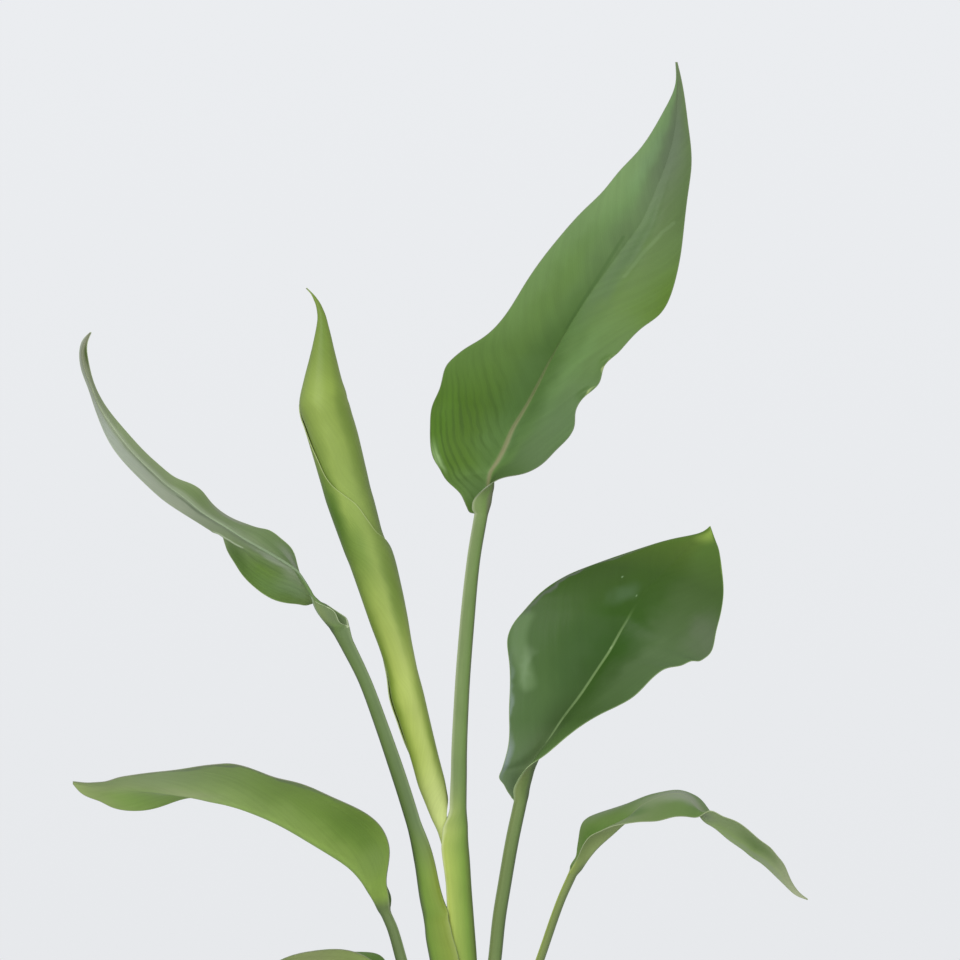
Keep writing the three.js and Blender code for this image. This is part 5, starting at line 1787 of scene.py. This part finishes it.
def scatter(name, chip, count, seed, sizes, material):
    """Copies of a chip on the potting mix, clear of the stalks, joined into one piece."""
    dice = random.Random(seed)
    pieces = []
    while len(pieces) < count:
        turn = dice.uniform(0, math.tau)
        reach = (SCATTER_RADIUS - 1) * math.sqrt(dice.uniform(0, 1))
        x, y = reach * math.cos(turn), reach * math.sin(turn)
        size = dice.uniform(*sizes)
        wide, deep = CROWN_CLEARANCE
        in_crown = math.hypot((x - CROWN_HOLE[0]) / (wide + size), y / (deep + size)) < 1
        if in_crown or reach + size > SCATTER_RADIUS:
            continue
        copy = chip.copy()
        copy.data = chip.data.copy()
        copy.location = (x * MM, y * MM, (soil_top(x, y) + size * CHIP_LIFT) * MM)
        breadth, height = dice.uniform(*CHIP_BREADTH), dice.uniform(*CHIP_HEIGHT)
        copy.scale = (size, size * breadth, size * height)
        tilt = (dice.gauss(0, CHIP_TILT), dice.gauss(0, CHIP_TILT))
        copy.rotation_euler = (*tilt, dice.uniform(0, math.tau))
        bpy.context.scene.collection.objects.link(copy)
        pieces.append(copy)
    bpy.data.objects.remove(chip)
    deselect_all()
    for piece in pieces:
        piece.select_set(True)
    bpy.context.view_layer.objects.active = pieces[0]
    bpy.ops.object.join()
    joined = bpy.context.object
    joined.name = joined.data.name = name
    bpy.ops.object.transform_apply(location=True, rotation=True, scale=True)
    joined.data.materials.append(material)
    return joined


def rough_chip(seed):
    """One broken chip, 1 mm across: a bevelled block with its corners pushed about."""
    deselect_all()
    bpy.ops.mesh.primitive_cube_add(size=1 * MM)
    chip = bpy.context.object
    apply_modifier(chip, "BEVEL", width=CHIP_WEAR * MM, segments=1)
    dice = random.Random(seed)
    for vertex in chip.data.vertices:
        vertex.co *= dice.uniform(*CHIP_PUSH)
    return chip


def add_mix():
    """The potting mix itself: a sheet of rings, closed into one solid body."""
    points = soil_rings()
    soil = add_grid("soil", *points.shape[:2])
    set_points(soil, points.reshape(-1, 3))
    bpy.ops.object.mode_set(mode="EDIT")
    bpy.ops.mesh.select_all(action="SELECT")
    bpy.ops.mesh.remove_doubles(threshold=0.001 * MM)
    bpy.ops.object.mode_set(mode="OBJECT")
    face_outward(soil)
    bpy.ops.object.shade_smooth_by_angle(angle=math.radians(50))
    soil.data.materials.append(crumbly_material("moist_potting_mix"))
    finish_piece(soil, "soil", "soil")


class PLANT_OT_add_soil(bpy.types.Operator):
    """Add the potting mix, with bark chips and perlite on it"""

    bl_idname = "plant.add_soil"
    bl_label = "Add soil"

    def execute(self, context):
        settings = context.scene.plant_pot
        add_mix()
        for name, finish, count, sizes, chip_seed, seed in (
            ("bark_chips", "dry_pine_bark", settings.chips, CHIP_SIZES, 3, 11),
            ("perlite", "expanded_perlite", settings.grains, GRAIN_SIZES, 5, 17),
        ):
            material = crumbly_material(finish)
            chips = scatter(name, rough_chip(chip_seed), count, seed, sizes, material)
            finish_piece(chips, "soil")
        return {"FINISHED"}


class PLANT_OT_add_stage(bpy.types.Operator):
    """Add the pale floor, the soft lights and the camera"""

    bl_idname = "plant.add_stage"
    bl_label = "Add stage"

    def execute(self, context):
        settings = context.scene.plant_stage
        add_camera(settings)
        add_lights(settings)
        add_world()
        add_floor(settings)
        return {"FINISHED"}


def add_camera(settings):
    """A long lens that looks level at the fan of leaves."""
    data = bpy.data.cameras.new("plant_camera")
    data.lens = CAMERA_LENS
    data.sensor_width = CAMERA_SENSOR
    camera = bpy.data.objects.new("plant_camera", data)
    camera.location = (CAMERA_SHIFT * MM, -settings.camera_distance, CAMERA_HEIGHT * MM)
    camera.rotation_euler = (math.radians(90), 0, 0)
    bpy.context.scene.collection.objects.link(camera)
    bpy.context.scene.camera = camera


def add_lights(settings):
    """Two large soft lights in front of the plant."""
    for name, place, size, share in LIGHTS:
        data = bpy.data.lights.new(name, "AREA")
        data.size = size
        data.energy = settings.key_power * share
        light = bpy.data.objects.new(name, data)
        light.location = place
        aim = Vector(LIGHT_AIM) - light.location
        light.rotation_euler = aim.to_track_quat("-Z", "Y").to_euler()
        light.visible_camera = False
        bpy.context.scene.collection.objects.link(light)


def add_world():
    """A pale wall all round, and soft light that is stronger from above."""
    world = bpy.data.worlds.new("pale_studio")
    world.use_nodes = True
    tree = world.node_tree
    tree.nodes.clear()
    way = add_node(tree, "ShaderNodeTexCoord", output="Generated")
    up = add_node(tree, "ShaderNodeSeparateXYZ", {"Vector": way}, output="Z")
    shown = []
    for colour, reach, low, high in (WORLD_LIGHT, WORLD_WALL):
        inputs = {"Value": up, "From Min": -reach, "From Max": reach, "To Min": low, "To Max": high}
        strength = add_node(tree, "ShaderNodeMapRange", inputs)
        inputs = {"Color": colour, "Strength": strength}
        shown.append(add_node(tree, "ShaderNodeBackground", inputs))
    seen = add_node(tree, "ShaderNodeLightPath", output="Is Camera Ray")
    both = add_node(tree, "ShaderNodeMixShader", {0: seen, 1: shown[0], 2: shown[1]})
    add_node(tree, "ShaderNodeOutputWorld", {"Surface": both})
    bpy.context.scene.world = world
    bpy.context.scene.view_settings.view_transform = "Standard"


def add_floor(settings):
    """A pale floor that fades into the wall."""
    deselect_all()
    radius = settings.floor_radius
    bpy.ops.mesh.primitive_circle_add(
        vertices=96, radius=radius, fill_type="TRIFAN", location=(0, 0, 0)
    )
    floor = bpy.context.object
    floor.name = "floor"
    material, tree = new_material("pale_floor")
    place = add_node(tree, "ShaderNodeTexCoord", output="Object")
    far = add_node(tree, "ShaderNodeVectorMath", {0: place}, "Value", operation="LENGTH")
    inputs = {"Value": far, "From Min": radius * 0.35, "From Max": radius * 0.98}
    fade = add_node(tree, "ShaderNodeMapRange", inputs, interpolation_type="SMOOTHSTEP")
    inputs = {"Base Color": FLOOR_COLOUR, "Roughness": 0.9, "Specular IOR Level": 0.1}
    ground = add_node(tree, "ShaderNodeBsdfPrincipled", inputs)
    clear = add_node(tree, "ShaderNodeBsdfTransparent")
    both = add_node(tree, "ShaderNodeMixShader", {0: fade, 1: ground, 2: clear})
    add_node(tree, "ShaderNodeOutputMaterial", {"Surface": both})
    floor.data.materials.append(material)


class PLANT_PT_panel(bpy.types.Panel):
    """Lists the plant's operators and settings"""

    bl_idname = "PLANT_PT_panel"
    bl_label = "Potted Bird of Paradise"
    bl_space_type = "VIEW_3D"
    bl_region_type = "UI"
    bl_category = "Plant"

    def draw(self, context):
        for group in (
            context.scene.plant_leaves,
            context.scene.plant_pot,
            context.scene.plant_stage,
        ):
            box = self.layout.box()
            for name in group.__annotations__:
                box.prop(group, name)
        for operator in OPERATORS:
            self.layout.operator(operator.bl_idname)


OPERATORS = (
    PLANT_OT_add_blades,
    PLANT_OT_add_stalks,
    PLANT_OT_add_rolled_leaf,
    PLANT_OT_add_pot,
    PLANT_OT_add_soil,
    PLANT_OT_add_stage,
)
CLASSES = (LeafSettings, PotSettings, StageSettings, *OPERATORS, PLANT_PT_panel)


def register():
    for item in CLASSES:
        bpy.utils.register_class(item)
    bpy.types.Scene.plant_leaves = PointerProperty(type=LeafSettings)
    bpy.types.Scene.plant_pot = PointerProperty(type=PotSettings)
    bpy.types.Scene.plant_stage = PointerProperty(type=StageSettings)


def unregister():
    del bpy.types.Scene.plant_stage
    del bpy.types.Scene.plant_pot
    del bpy.types.Scene.plant_leaves
    for item in reversed(CLASSES):
        bpy.utils.unregister_class(item)


def main():
    register()
    bpy.ops.plant.add_blades()
    bpy.ops.plant.add_stalks()
    bpy.ops.plant.add_rolled_leaf()
    bpy.ops.plant.add_pot()
    bpy.ops.plant.add_soil()
    bpy.ops.plant.add_stage()


if __name__ == "__main__":
    main()
